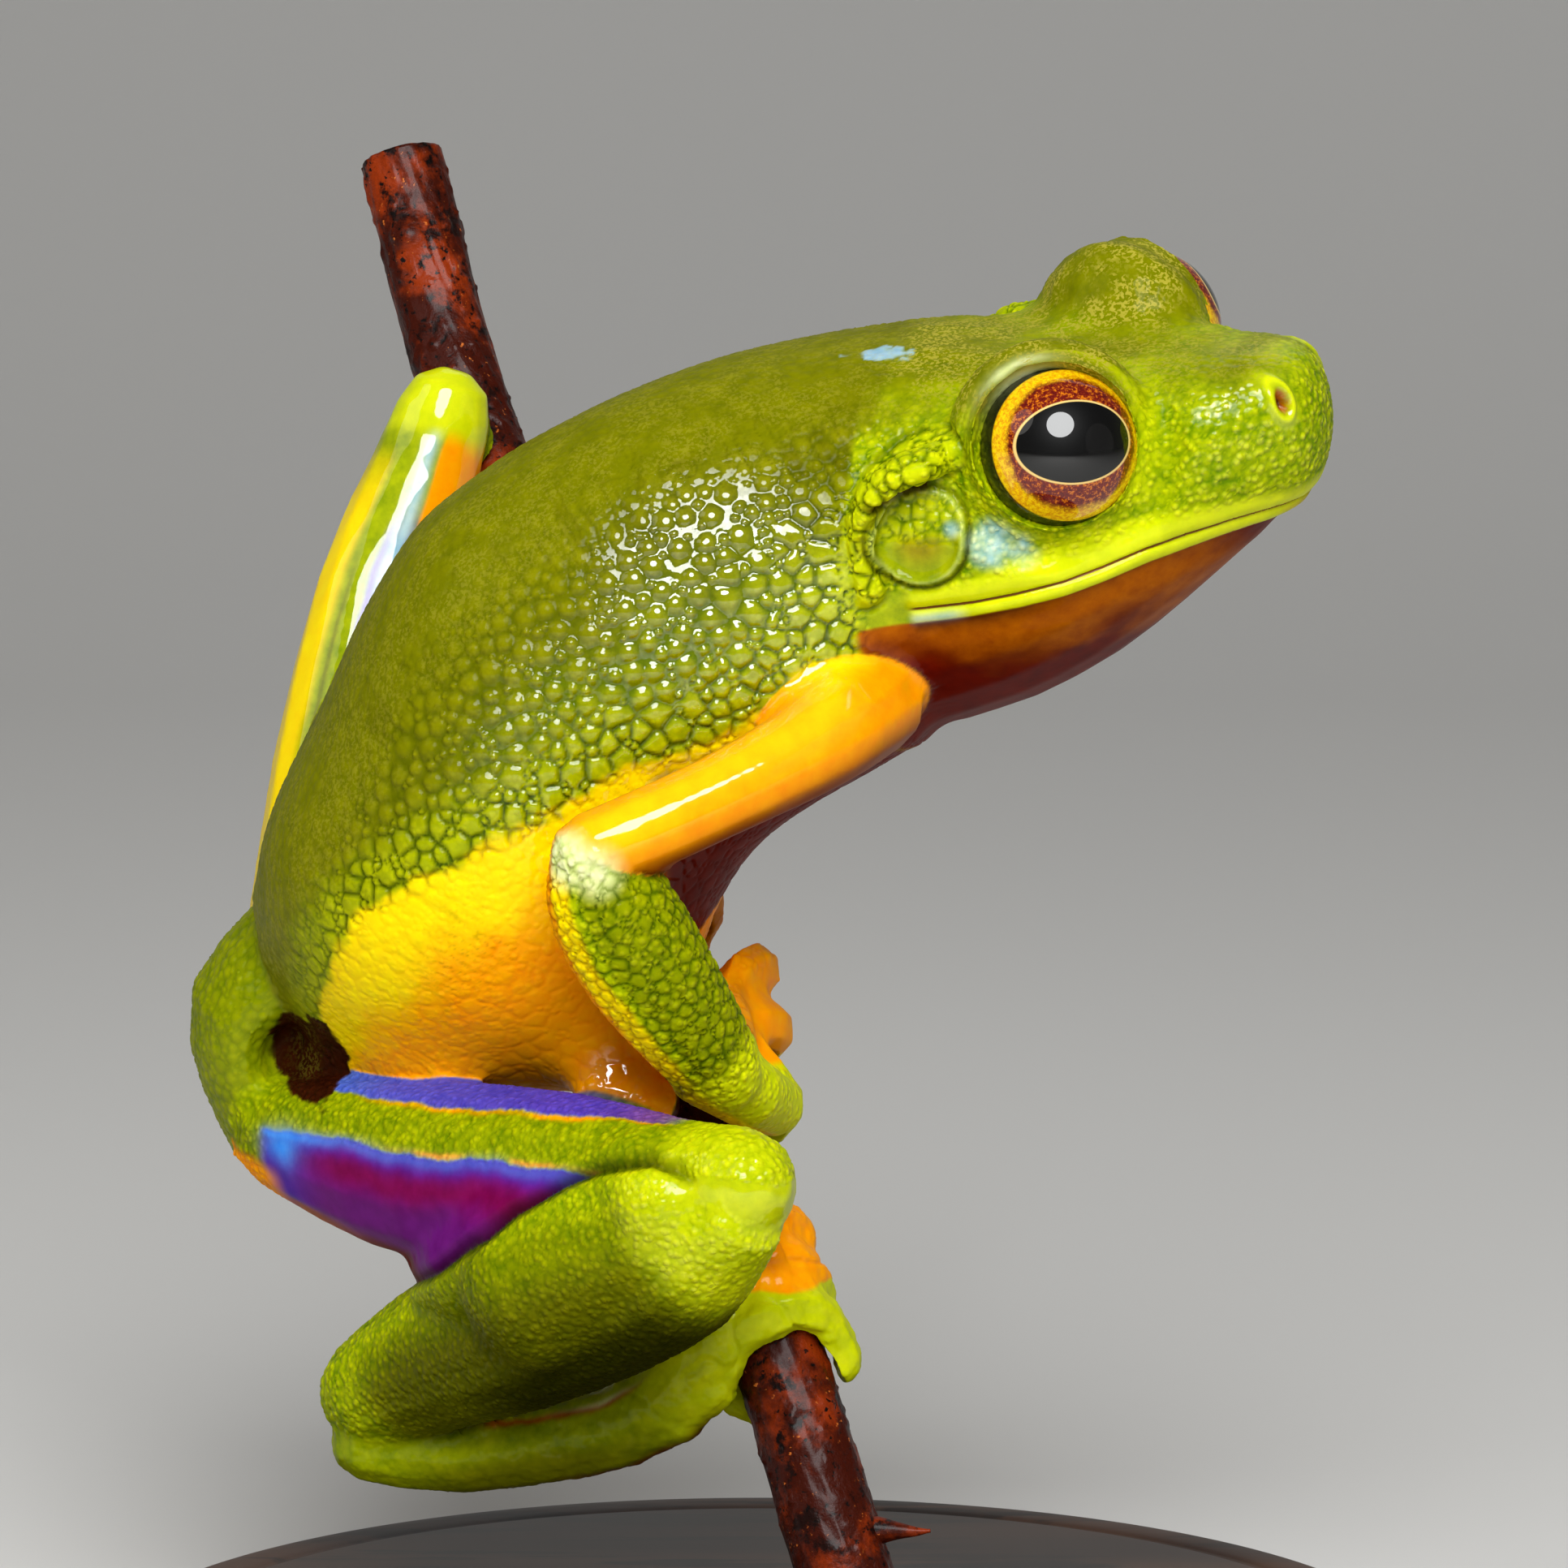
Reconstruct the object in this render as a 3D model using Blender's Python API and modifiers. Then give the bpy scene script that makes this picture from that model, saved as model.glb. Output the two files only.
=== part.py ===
"""A green tree frog, life size and still, gripping a cut twig on a plain display stand.

The frog straddles a leaning twig: the right leg is folded below the belly with its foot round
the twig, the left thigh reaches up along the back, and both hands hold the twig under the chest.
Each named piece is one closed solid. Pieces that touch keep GAP between them.

Lengths in the tables are millimetres and are scaled by MM when a mesh is made.
+X is the way the snout points, +Z is up, and the origin is the middle of the base's underside.
"""

import math

import bmesh
import bpy
from mathutils import Matrix, Vector

MM = 0.001
GAP = 0.3

# Head, in its own axes: f forward, l left, u up, from the point midway between the eyeballs
HEAD_MIDDLE = Vector((10.2, -0.8, 42.2))
HEAD_FORWARD = Vector((0.942, -0.331, 0.046))
HEAD_LEFT = Vector((0.303, 0.904, 0.299))
NECK_CUT = -6.2

EYE_CENTRE = Vector((0.05, 4.0, -0.15))
EYE_RADIUS = 2.5
SOCKET_RADIUS = EYE_RADIUS + GAP
LID_RADIUS = SOCKET_RADIUS + 0.42
LID_SHIFT = Vector((-0.22, -0.05, 0.14))
LID_OPENING = 2.32
EYE_LOOK = Vector((0.30, 0.87, 0.38))

EAR_CENTRE = Vector((-3.9, 6.35, -1.75))
EAR_RADIUS = 1.3
NOSTRIL = Vector((6.4, 1.95, 0.45))
NOSTRIL_RADIUS = 0.24

# Head rings from snout to nape: f, u of the widest level, half width, rise above it, depth
# below it, squareness of the upper and of the lower half
HEAD_RINGS = [
    (7.32, -0.9, 0.6, 0.6, 0.6, 2.0, 2.0),
    (7.1, -0.9, 1.35, 1.35, 1.45, 2.3, 2.0),
    (6.7, -0.9, 1.95, 1.95, 2.3, 2.5, 2.1),
    (5.9, -1.0, 2.6, 2.35, 2.85, 2.7, 2.1),
    (4.5, -1.6, 3.5, 3.0, 3.3, 2.6, 2.0),
    (2.3, -2.6, 4.65, 4.1, 4.1, 2.5, 1.9),
    (0.0, -3.3, 5.75, 4.9, 5.1, 2.4, 1.8),
    (-2.5, -3.8, 6.4, 5.5, 5.9, 2.3, 1.8),
    (-4.8, -4.1, 6.5, 6.05, 6.3, 2.2, 1.9),
]

# Trunk rings from neck to groin: centre, forward, half width, rise, depth, squareness
TRUNK_LEFT = Vector((-0.287, 0.94, 0.179))
NECK_LEFT = Vector((0.05, 0.95, 0.25))
TRUNK_RINGS = [
    ((3.8, 2.0, 37.7), (0.913, -0.236, 0.333), 6.4, 6.4, 6.3, 2.1),
    ((0.1, 1.6, 35.9), (0.803, -0.12, 0.584), 6.4, 7.7, 6.8, 2.1),
    ((-5.0, 1.6, 32.7), (0.696, -0.081, 0.714), 6.7, 7.9, 6.8, 2.1),
    ((-8.2, 2.2, 28.1), (0.592, -0.069, 0.803), 7.1, 6.7, 7.5, 2.1),
    ((-9.9, 2.7, 24.7), (0.492, -0.06, 0.869), 6.3, 6.6, 7.4, 2.1),
    ((-11.4, 3.3, 22.4), (0.41, -0.04, 0.91), 4.6, 4.6, 5.4, 2.0),
    ((-12.2, 3.6, 21.2), (0.36, -0.02, 0.93), 2.4, 2.4, 2.8, 2.0),
    ((-12.5, 3.7, 20.7), (0.36, -0.02, 0.93), 0.8, 0.8, 0.8, 2.0),
]

# Limb paths: centre, half width across the limb, half thickness
PELVIS_PATH = [
    ((-12.6, 4.1, 26.4), 1.6, 1.6),
    ((-14.6, 4.4, 24.2), 2.6, 1.7),
    ((-16.6, 4.7, 22.2), 2.5, 1.25),
    ((-16.4, 4.8, 20.0), 2.2, 1.15),
    ((-15.5, 4.7, 18.0), 1.9, 1.1),
]
GROIN_PATH = [
    ((-11.6, 4.4, 22.4), 2.2, 2.2),
    ((-14.0, 5.2, 20.6), 2.2, 2.0),
    ((-15.0, 5.2, 19.0), 1.5, 1.5),
]
RIGHT_THIGH = [
    ((-15.2, 3.6, 18.5), 1.7, 1.5),
    ((-12.9, 1.5, 18.3), 2.4, 2.1),
    ((-9.6, -1.5, 18.1), 2.9, 2.5),
    ((-5.5, -5.2, 18.6), 2.65, 2.3),
    ((-2.4, -8.2, 19.0), 2.0, 1.9),
    ((-0.5, -10.0, 19.3), 1.8, 1.7),
]
RIGHT_SHANK = [
    ((-0.9, -9.9, 18.2), 1.8, 1.8),
    ((-2.4, -8.3, 17.0), 2.7, 2.4),
    ((-4.4, -6.1, 15.7), 3.0, 2.5),
    ((-7.4, -2.9, 13.7), 2.8, 2.2),
    ((-10.2, 0.2, 11.9), 2.3, 1.8),
    ((-12.2, 2.2, 10.4), 1.8, 1.6),
]
LEFT_THIGH = [
    ((-15.4, 6.6, 20.3), 1.7, 1.5),
    ((-14.2, 7.8, 23.8), 2.4, 2.0),
    ((-13.2, 9.4, 29.0), 2.65, 2.2),
    ((-12.0, 10.9, 34.6), 2.3, 2.0),
    ((-10.7, 11.8, 38.4), 1.8, 1.7),
    ((-10.1, 12.0, 40.3), 1.55, 1.5),
]
LEFT_SHANK = [
    ((-9.9, 13.2, 39.4), 1.5, 1.5),
    ((-10.2, 14.7, 37.0), 2.2, 2.1),
    ((-11.6, 15.9, 32.6), 2.6, 2.3),
    ((-13.0, 15.9, 26.8), 2.1, 1.8),
    ((-14.0, 15.2, 22.4), 1.6, 1.5),
    ((-14.3, 14.9, 20.9), 1.5, 1.4),
]
RIGHT_UPPER_ARM = [
    ((3.4, -1.9, 33.0), 1.9, 1.8),
    ((2.4, -4.2, 32.4), 1.7, 1.6),
    ((1.1, -5.5, 31.6), 1.45, 1.4),
    ((-1.3, -6.7, 30.5), 1.3, 1.3),
    ((-3.7, -7.5, 29.5), 1.3, 1.3),
    ((-5.0, -7.7, 29.0), 1.25, 1.25),
]
RIGHT_FOREARM = [
    ((-5.1, -7.6, 28.6), 1.4, 1.3),
    ((-4.5, -7.3, 27.4), 1.9, 1.6),
    ((-3.3, -6.5, 25.2), 1.95, 1.6),
    ((-1.9, -5.3, 23.0), 1.6, 1.4),
    ((-1.1, -4.5, 21.7), 1.3, 1.2),
]
LEFT_UPPER_ARM = [
    ((0.8, 5.2, 34.4), 2.0, 1.9),
    ((0.5, 8.4, 33.7), 1.75, 1.65),
    ((-0.7, 11.8, 32.0), 1.4, 1.3),
    ((-1.9, 14.4, 30.4), 1.3, 1.25),
]
LEFT_FOREARM = [
    ((-2.0, 14.7, 30.1), 1.4, 1.3),
    ((-2.2, 14.3, 29.0), 1.8, 1.6),
    ((-2.8, 12.9, 26.9), 1.7, 1.5),
    ((-3.3, 11.0, 25.0), 1.25, 1.15),
]

# The twig runs up, to the left and away, a little curved
TWIG_PATH = [
    (2.8, -4.4, 5.6),
    (0.7, -2.0, 12.2),
    (-1.4, 0.8, 18.3),
    (-3.5, 4.4, 24.1),
    (-5.3, 8.2, 29.3),
    (-7.3, 11.7, 34.5),
    (-9.1, 14.9, 39.2),
    (-10.3, 16.9, 42.7),
    (-11.7, 19.1, 47.9),
]
TWIG_RADIUS_LOW = 1.46
TWIG_RADIUS_HIGH = 1.34
THORN_LENGTH = 1.5

BASE_RADIUS = 21.0
BASE_THICKNESS = 3.0
BASE_BEVEL = 0.5
ROD_RADIUS = 1.0


def clear_scene():
    for item in list(bpy.data.objects):
        bpy.data.objects.remove(item, do_unlink=True)


def material(name, colour, roughness, metallic=0.0):
    made = bpy.data.materials.new(name)
    made.use_nodes = True
    shader = made.node_tree.nodes["Principled BSDF"]
    shader.inputs["Base Color"].default_value = (*colour, 1.0)
    shader.inputs["Roughness"].default_value = roughness
    shader.inputs["Metallic"].default_value = metallic
    return made


def between(rows, steps):
    """Rows of numbers along a path, with steps - 1 smoothly interpolated rows between each pair."""
    made = []
    for i in range(len(rows) - 1):
        before, a, b, after = (
            rows[max(i - 1, 0)],
            rows[i],
            rows[i + 1],
            rows[min(i + 2, len(rows) - 1)],
        )
        for step in range(steps):
            t = step / steps
            made.append(
                [
                    0.5
                    * (
                        2 * q
                        + (r - p) * t
                        + (2 * p - 5 * q + 4 * r - s) * t * t
                        + (3 * q - p - 3 * r + s) * t**3
                    )
                    for p, q, r, s in zip(before, a, b, after)
                ]
            )
    return made + [list(rows[-1])]


def ring_points(centre, forward, left, width, top, bottom, square_top, square_bottom, sides):
    """Points round one section: a superellipse whose upper and lower halves may differ."""
    forward = forward.normalized()
    left = (left - forward * left.dot(forward)).normalized()
    up = forward.cross(left)
    points = []
    for i in range(sides):
        angle = 2 * math.pi * i / sides
        c, s = math.cos(angle), math.sin(angle)
        power = 2 / (square_top if s >= 0 else square_bottom)
        across = math.copysign(abs(c) ** power, c) * width
        rise = math.copysign(abs(s) ** power, s) * (top if s >= 0 else bottom)
        points.append(centre + left * across + up * rise)
    return points


def skin_rings(rings):
    """One closed mesh through rings of points, each end closed by a fan to its middle."""
    shape = bmesh.new()
    rows = [[shape.verts.new(point * MM) for point in ring] for ring in rings]
    sides = len(rings[0])
    for a, b in zip(rows, rows[1:]):
        for i in range(sides):
            j = (i + 1) % sides
            shape.faces.new((a[i], a[j], b[j], b[i]))
    for row, ring in ((rows[0], rings[0]), (rows[-1], rings[-1])):
        middle = shape.verts.new(sum(ring, Vector()) / sides * MM)
        for i in range(sides):
            shape.faces.new((row[i], row[(i + 1) % sides], middle))
    bmesh.ops.recalc_face_normals(shape, faces=shape.faces)
    mesh = bpy.data.meshes.new("rings")
    shape.to_mesh(mesh)
    shape.free()
    return mesh


def rounded_ends(rows, ends):
    """Adds shrinking rows beyond the ends of a limb path, so that it ends in a dome."""
    made = [list(row) for row in rows]
    for end, inner, place in ((-1, -2, len(made)), (0, 1, 0))[:ends]:
        tip = made[end]
        away = (Vector(tip[:3]) - Vector(made[inner][:3])).normalized()
        caps = []
        for angle in (38, 72):
            out = math.sin(math.radians(angle)) * min(tip[3], tip[4])
            shrink = math.cos(math.radians(angle))
            caps.append([*(Vector(tip[:3]) + away * out), tip[3] * shrink, tip[4] * shrink])
        if place == 0:
            caps.reverse()
            made = caps + made
        else:
            made = made + caps
    return made


def limb_mesh(path, across, steps=2, sides=14, ends=2):
    """A limb along a path of (centre, half width, half thickness) rows, with 1 or 2 domed ends."""
    rows = between([[*centre, wide, thick] for centre, wide, thick in path], steps)
    rows = rounded_ends(rows, ends)
    centres = [Vector(row[:3]) for row in rows]
    rings = []
    for i, row in enumerate(rows):
        ahead = centres[min(i + 1, len(rows) - 1)] - centres[max(i - 1, 0)]
        rings.append(
            ring_points(centres[i], ahead, across, row[3], row[4], row[4], 2.0, 2.0, sides)
        )
    return skin_rings(rings)


def add(name, mesh, collection, finish=None):
    made = bpy.data.objects.new(name, mesh)
    collection.objects.link(made)
    if finish:
        mesh.materials.clear()
        mesh.materials.append(finish)
    return made


def primitive(maker, name, collection, matrix, **sizes):
    """A bmesh primitive as an object whose mesh is already in place."""
    shape = bmesh.new()
    maker(shape, **sizes)
    bmesh.ops.transform(shape, matrix=matrix, verts=shape.verts)
    mesh = bpy.data.meshes.new(name)
    shape.to_mesh(mesh)
    shape.free()
    return add(name, mesh, collection)


def ball(name, collection, centre, radii, turn=None, around=20, rings=12):
    """An ellipsoid with the given half sizes, its axes turned by a 3 x 3 matrix."""
    place = Matrix.Translation(centre * MM) @ (turn or Matrix.Identity(3)).to_4x4()
    return primitive(
        bmesh.ops.create_uvsphere,
        name,
        collection,
        place @ Matrix.Diagonal((*(Vector(radii) * MM), 1.0)),
        u_segments=around,
        v_segments=rings,
        radius=1.0,
    )


def axes_from(direction, hint):
    """A rotation whose Z is the direction and whose X is as near the hint as can be."""
    z = direction.normalized()
    x = (hint - z * hint.dot(z)).normalized()
    return Matrix((x, z.cross(x), z)).transposed()


def apply_modifiers(target):
    graph = bpy.context.evaluated_depsgraph_get()
    graph.update()
    mesh = bpy.data.meshes.new_from_object(target.evaluated_get(graph))
    target.modifiers.clear()
    target.data = mesh


def boolean(target, operation, others, scratch):
    """Joins or cuts with every object of a list at once, and removes those objects."""
    group = bpy.data.collections.new("operands")
    scratch.children.link(group)
    for other in others:
        for owner in list(other.users_collection):
            owner.objects.unlink(other)
        group.objects.link(other)
    step = target.modifiers.new("combine", "BOOLEAN")
    step.operation = operation
    step.operand_type = "COLLECTION"
    step.collection = group
    step.solver = "EXACT"
    step.use_self = operation == "UNION"
    before = target.data.copy()
    apply_modifiers(target)
    keep_largest(target)
    if not plausible(before, target.data, operation):
        target.data = before
        step = target.modifiers.new("combine", "BOOLEAN")
        step.operation = operation
        step.operand_type = "COLLECTION"
        step.collection = group
        step.solver = "MANIFOLD"
        apply_modifiers(target)
        keep_largest(target)
    for other in others:
        bpy.data.objects.remove(other, do_unlink=True)
    bpy.data.collections.remove(group)


def measure(mesh):
    """The volume inside a mesh, and whether every edge of it has two faces."""
    shape = bmesh.new()
    shape.from_mesh(mesh)
    amount = shape.calc_volume()
    closed = all(len(edge.link_faces) == 2 for edge in shape.edges)
    shape.free()
    return amount, closed


def plausible(before, after, operation):
    """Whether a Boolean left a closed piece of a sensible size."""
    amount, closed = measure(after)
    share = amount / measure(before)[0]
    return closed and (share > 0.999 if operation == "UNION" else 0.2 < share < 1.001)


def welded(mesh):
    """The mesh in triangles with tiny edges closed up, by a distance that opens no edge."""
    best = None
    for distance in (2e-6, 5e-7, 1e-7, 0.0, 1e-5):
        shape = bmesh.new()
        shape.from_mesh(mesh)
        if distance:
            bmesh.ops.remove_doubles(shape, verts=shape.verts, dist=distance)
            bmesh.ops.dissolve_degenerate(shape, edges=shape.edges, dist=distance)
        bmesh.ops.triangulate(shape, faces=shape.faces)
        open_edges = sum(len(edge.link_faces) != 2 for edge in shape.edges)
        if best is None or open_edges < best[0]:
            if best:
                best[1].free()
            best = (open_edges, shape)
        else:
            shape.free()
        if open_edges == 0:
            break
    return best[1]


def keep_largest(target):
    """Keeps the closed surface with the most points and drops loose scraps."""
    shape = welded(target.data)
    left = set(shape.verts)
    islands = []
    while left:
        stack = [left.pop()]
        island = []
        while stack:
            vertex = stack.pop()
            island.append(vertex)
            for edge in vertex.link_edges:
                other = edge.other_vert(vertex)
                if other in left:
                    left.remove(other)
                    stack.append(other)
        islands.append(island)
    islands.sort(key=len)
    for island in islands[:-1]:
        bmesh.ops.delete(shape, geom=island, context="VERTS")
    shape.to_mesh(target.data)
    shape.free()


def swollen(source, distance, scratch):
    """A copy of a piece whose surface stands out by a distance, to cut clearance with."""
    made = add(source.name + "_swollen", source.data.copy(), scratch)
    grow = made.modifiers.new("grow", "DISPLACE")
    grow.strength = distance * MM
    grow.mid_level = 0.0
    apply_modifiers(made)
    return made


def cut_clear(target, neighbours, scratch):
    """Cuts a piece back so that it keeps GAP to each neighbour's uncut form."""
    for neighbour in neighbours:
        boolean(target, "DIFFERENCE", [swollen(neighbour, GAP, scratch)], scratch)


def uncut(source, scratch):
    """A hidden copy of a piece before anything is cut from it."""
    return add(source.name + "_uncut", source.data.copy(), scratch)


def head_axes():
    forward = HEAD_FORWARD.normalized()
    left = (HEAD_LEFT - forward * HEAD_LEFT.dot(forward)).normalized()
    return Matrix((forward, left, forward.cross(left))).transposed()


def on_head(f, side, u):
    """A point given in the head's own axes; side is measured to the frog's left."""
    return HEAD_MIDDLE + head_axes() @ Vector((f, side, u))


def mouth_height(f):
    """How low the mouth line runs at f, from -3.1 at the snout to -4.6 at its corner."""
    return -3.1 - 1.5 * (max(6.6 - f, 0.0) / 10.8) ** 1.3


def mouth_line():
    """Points on the head's surface from the right corner of the mouth round to the left one."""
    side = []
    for f, middle, width, _, bottom, _, square in between(HEAD_RINGS, 3):
        drop = middle - mouth_height(f)
        if -5.0 < f < 6.9 and drop < bottom * 0.97:
            side.append((f, width * (1 - (drop / bottom) ** square) ** (1 / square)))
    right = [on_head(f, -width, mouth_height(f)) for f, width in reversed(side)]
    left = [on_head(f, width, mouth_height(f)) for f, width in side]
    return right + [on_head(6.78, 0.0, -3.08)] + left


def tube(name, points, radius, collection):
    """A closed tube through points, made from a curve and welded at its caps."""
    curve = bpy.data.curves.new(name, "CURVE")
    curve.dimensions = "3D"
    curve.bevel_depth = radius * MM
    curve.bevel_resolution = 0
    curve.use_fill_caps = True
    line = curve.splines.new("POLY")
    line.points.add(len(points) - 1)
    for spot, point in zip(line.points, points):
        spot.co = (*(point * MM), 1.0)
    source = bpy.data.objects.new(name, curve)
    collection.objects.link(source)
    graph = bpy.context.evaluated_depsgraph_get()
    graph.update()
    mesh = bpy.data.meshes.new_from_object(source.evaluated_get(graph))
    bpy.data.objects.remove(source, do_unlink=True)
    shape = bmesh.new()
    shape.from_mesh(mesh)
    bmesh.ops.remove_doubles(shape, verts=shape.verts, dist=1e-6)
    bmesh.ops.recalc_face_normals(shape, faces=shape.faces)
    shape.to_mesh(mesh)
    shape.free()
    return add(name, mesh, collection)


def body_mesh():
    """Head and trunk as one loft, from the snout to the groin."""
    head = head_axes()
    rows = []
    for f, middle, width, top, bottom, square_top, square_bottom in HEAD_RINGS:
        centre = on_head(f, 0.0, middle)
        rows.append([*centre, *head.col[0], *head.col[1], width, top, bottom, square_top, square_bottom])
    for i, (centre, forward, width, top, bottom, square) in enumerate(TRUNK_RINGS):
        left = NECK_LEFT if i == 0 else TRUNK_LEFT
        rows.append([*centre, *forward, *left, width, top, bottom, square, square])
    rings = []
    for row in between(rows, 2):
        rings.append(
            ring_points(Vector(row[0:3]), Vector(row[3:6]), Vector(row[6:9]), *row[9:14], 26)
        )
    return skin_rings(rings)


def mirrored(vector, side):
    """A head vector given for the left side, taken to the left (1) or right (-1)."""
    return Vector((vector.x, vector.y * side, vector.z))


def brow_fold(side, collection):
    """The fold of skin from behind the eye over the ear and down behind the jaw."""
    spots = [
        (-2.7, 5.35, 0.1),
        (-4.0, 5.95, 0.1),
        (-5.2, 6.3, -0.7),
        (-5.75, 6.45, -2.2),
        (-5.7, 6.45, -3.8),
    ]
    path = [(on_head(f, l * side, u), 0.55, 0.5) for f, l, u in spots]
    return add("fold", limb_mesh(path, head_axes().col[1], steps=2, sides=6), collection)


def shape_head(body, scratch):
    """Adds lids and folds to the body, then cuts sockets, mouth, ears and nostrils."""
    head = head_axes()
    joined = []
    cutters = []
    for side in (1, -1):
        centre = on_head(*mirrored(EYE_CENTRE, side))
        dome = on_head(*mirrored(EYE_CENTRE + LID_SHIFT, side))
        joined.append(ball("lid", scratch, dome, (LID_RADIUS,) * 3, around=16, rings=12))
        joined.append(brow_fold(side, scratch))
        nostril = on_head(NOSTRIL.x, NOSTRIL.y * side, NOSTRIL.z)
        out = head @ mirrored(Vector((0.45, 0.85, 0.3)), side)
        rim = (0.5, 0.5, 0.5)
        joined.append(ball("nostril_rim", scratch, nostril - out * 0.3, rim, around=8, rings=6))
        cutters.append(ball("socket", scratch, centre, (SOCKET_RADIUS,) * 3, around=20, rings=12))
        look = head @ mirrored(EYE_LOOK, side).normalized()
        opening = axes_from(look, head.col[0]).to_4x4()
        opening.translation = (centre + look * 2.8) * MM
        cutters.append(
            primitive(
                bmesh.ops.create_cone,
                "opening",
                scratch,
                opening,
                cap_ends=True,
                segments=24,
                radius1=LID_OPENING * MM,
                radius2=(LID_OPENING + 0.2) * MM,
                depth=4.0 * MM,
            )
        )
        pit = (NOSTRIL_RADIUS, NOSTRIL_RADIUS, 0.6)
        facing = axes_from(out, head.col[2])
        cutters.append(ball("nostril", scratch, nostril + out * 0.25, pit, facing, around=8, rings=6))
        ear = on_head(EAR_CENTRE.x, EAR_CENTRE.y * side, EAR_CENTRE.z)
        normal = head @ mirrored(Vector((-0.05, 0.97, 0.22)), side).normalized()
        flat = axes_from(normal, head.col[0])
        steps = 16
        ring = [
            ear + flat @ Vector((math.cos(a), math.sin(a), 0)) * EAR_RADIUS
            for a in (2 * math.pi * i / steps for i in range(steps))
        ]
        cutters.append(ear_groove(ring, flat.col[2], scratch))
    boolean(body, "UNION", joined, scratch)
    cutters.append(tube("mouth", mouth_line(), 0.2, scratch))
    boolean(body, "DIFFERENCE", cutters, scratch)


def ear_groove(ring, normal, collection):
    """A thin closed ring that cuts the groove round the eardrum."""
    shape = bmesh.new()
    rows = []
    middle = sum(ring, Vector()) / len(ring)
    for point in ring:
        out = (point - middle).normalized()
        corners = ((-0.13, -0.2), (0.13, -0.2), (0.16, 0.9), (-0.16, 0.9))
        rows.append([shape.verts.new((point + out * a + normal * b) * MM) for a, b in corners])
    for a, b in zip(rows, rows[1:] + rows[:1]):
        for i in range(4):
            j = (i + 1) % 4
            shape.faces.new((a[i], a[j], b[j], b[i]))
    bmesh.ops.recalc_face_normals(shape, faces=shape.faces)
    mesh = bpy.data.meshes.new("ear_groove")
    shape.to_mesh(mesh)
    shape.free()
    return add("ear_groove", mesh, collection)


def half_space(name, front, scratch):
    """A large box on one side of the neck cut, in the head's axes."""
    size = 60.0
    middle = NECK_CUT + (size / 2 + GAP / 2) * (1 if front else -1)
    place = head_axes().to_4x4()
    place.translation = on_head(middle, 0.0, 0.0) * MM
    return primitive(bmesh.ops.create_cube, name, scratch, place, size=size * MM)


def twig_spot(height):
    """The twig's axis point and direction at a height."""
    rows = between(TWIG_PATH, 8)
    for a, b in zip(rows, rows[1:]):
        if a[2] <= height <= b[2]:
            share = (height - a[2]) / (b[2] - a[2])
            low, high = Vector(a), Vector(b)
            return low.lerp(high, share), (high - low).normalized()
    raise ValueError(height)


def round_twig(height, angle, distance):
    """A point beside the twig: angle 0 is its front, 90 its right side and 180 its back."""
    spot, along = twig_spot(height)
    front = Vector((0, -1, 0))
    front = (front - along * front.dot(along)).normalized()
    right = along.cross(front).normalized()
    if right.x < 0:
        right = -right
    turn = math.radians(angle)
    return spot + (front * math.cos(turn) + right * math.sin(turn)) * distance


def digit(root, holds, disc, girth, scratch):
    """One finger or toe: from its root through (height, angle, distance) holds to a round disc."""
    spots = [root] + [round_twig(*hold) for hold in holds]
    path = [(spot, girth, girth * 0.72) for spot in spots]
    made = add("digit", limb_mesh(path, Vector((0, 0, 1)), sides=6, ends=1), scratch)
    height = holds[-1][0]
    spot, along = twig_spot(height)
    out = (spots[-1] - spot).normalized()
    size = (disc, disc, disc * 0.55)
    pad = ball("disc", scratch, spots[-1], size, axes_from(out, along), around=8, rings=5)
    return [made, pad]


def grip(height, angle, distance):
    """A place beside the twig for a palm, and the turn that lays a palm against the twig."""
    spot, along = twig_spot(height)
    place = round_twig(height, angle, distance)
    return place, axes_from((place - spot).normalized(), along)


def fuse(name, path, palm, digits, finish, part, scratch):
    """Wrist or tarsus, palm and digits fused to one closed solid."""
    made = add(name, limb_mesh(path, Vector((0, 0, 1)), steps=2, sides=12), part, finish)
    place, turn = grip(*palm[0])
    pieces = [ball("palm", scratch, place, palm[1], turn, around=10, rings=6)]
    for holds, disc, girth in digits:
        pieces += digit(place, holds, disc, girth, scratch)
    boolean(made, "UNION", pieces, scratch)
    return made


def build_twig(part, scratch, finish):
    """The cut twig, with slanted ends, small knots and one thorn near its foot."""
    rows = between([[*spot] for spot in TWIG_PATH], 2)
    rings = []
    for i, row in enumerate(rows):
        centre = Vector(row)
        ahead = Vector(rows[min(i + 1, len(rows) - 1)]) - Vector(rows[max(i - 1, 0)])
        share = i / (len(rows) - 1)
        radius = TWIG_RADIUS_LOW + (TWIG_RADIUS_HIGH - TWIG_RADIUS_LOW) * share
        radius *= 1 + 0.03 * math.sin(i * 2.1) + 0.02 * math.sin(i * 5.3)
        rings.append(
            ring_points(centre, ahead, Vector((1, 0, 0)), radius, radius, radius, 2.0, 2.0, 14)
        )
    twig = add("perch_twig", skin_rings(rings), part, finish)
    root = round_twig(7.0, 80, TWIG_RADIUS_LOW - 0.7)
    tip = round_twig(6.5, 84, TWIG_RADIUS_LOW + THORN_LENGTH)
    middle = round_twig(6.85, 82, TWIG_RADIUS_LOW + 0.1)
    thorn = limb_mesh([(root, 0.75, 0.55), (middle, 0.48, 0.4), (tip, 0.14, 0.14)],
                      Vector((0, 0, 1)), steps=3, sides=8)
    knot = round_twig(45.2, -15, TWIG_RADIUS_HIGH - 0.25)
    boolean(twig, "UNION", [add("thorn", thorn, scratch),
                            ball("knot", scratch, knot, (0.55, 0.5, 0.75), around=10, rings=8)], scratch)
    return twig


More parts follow.
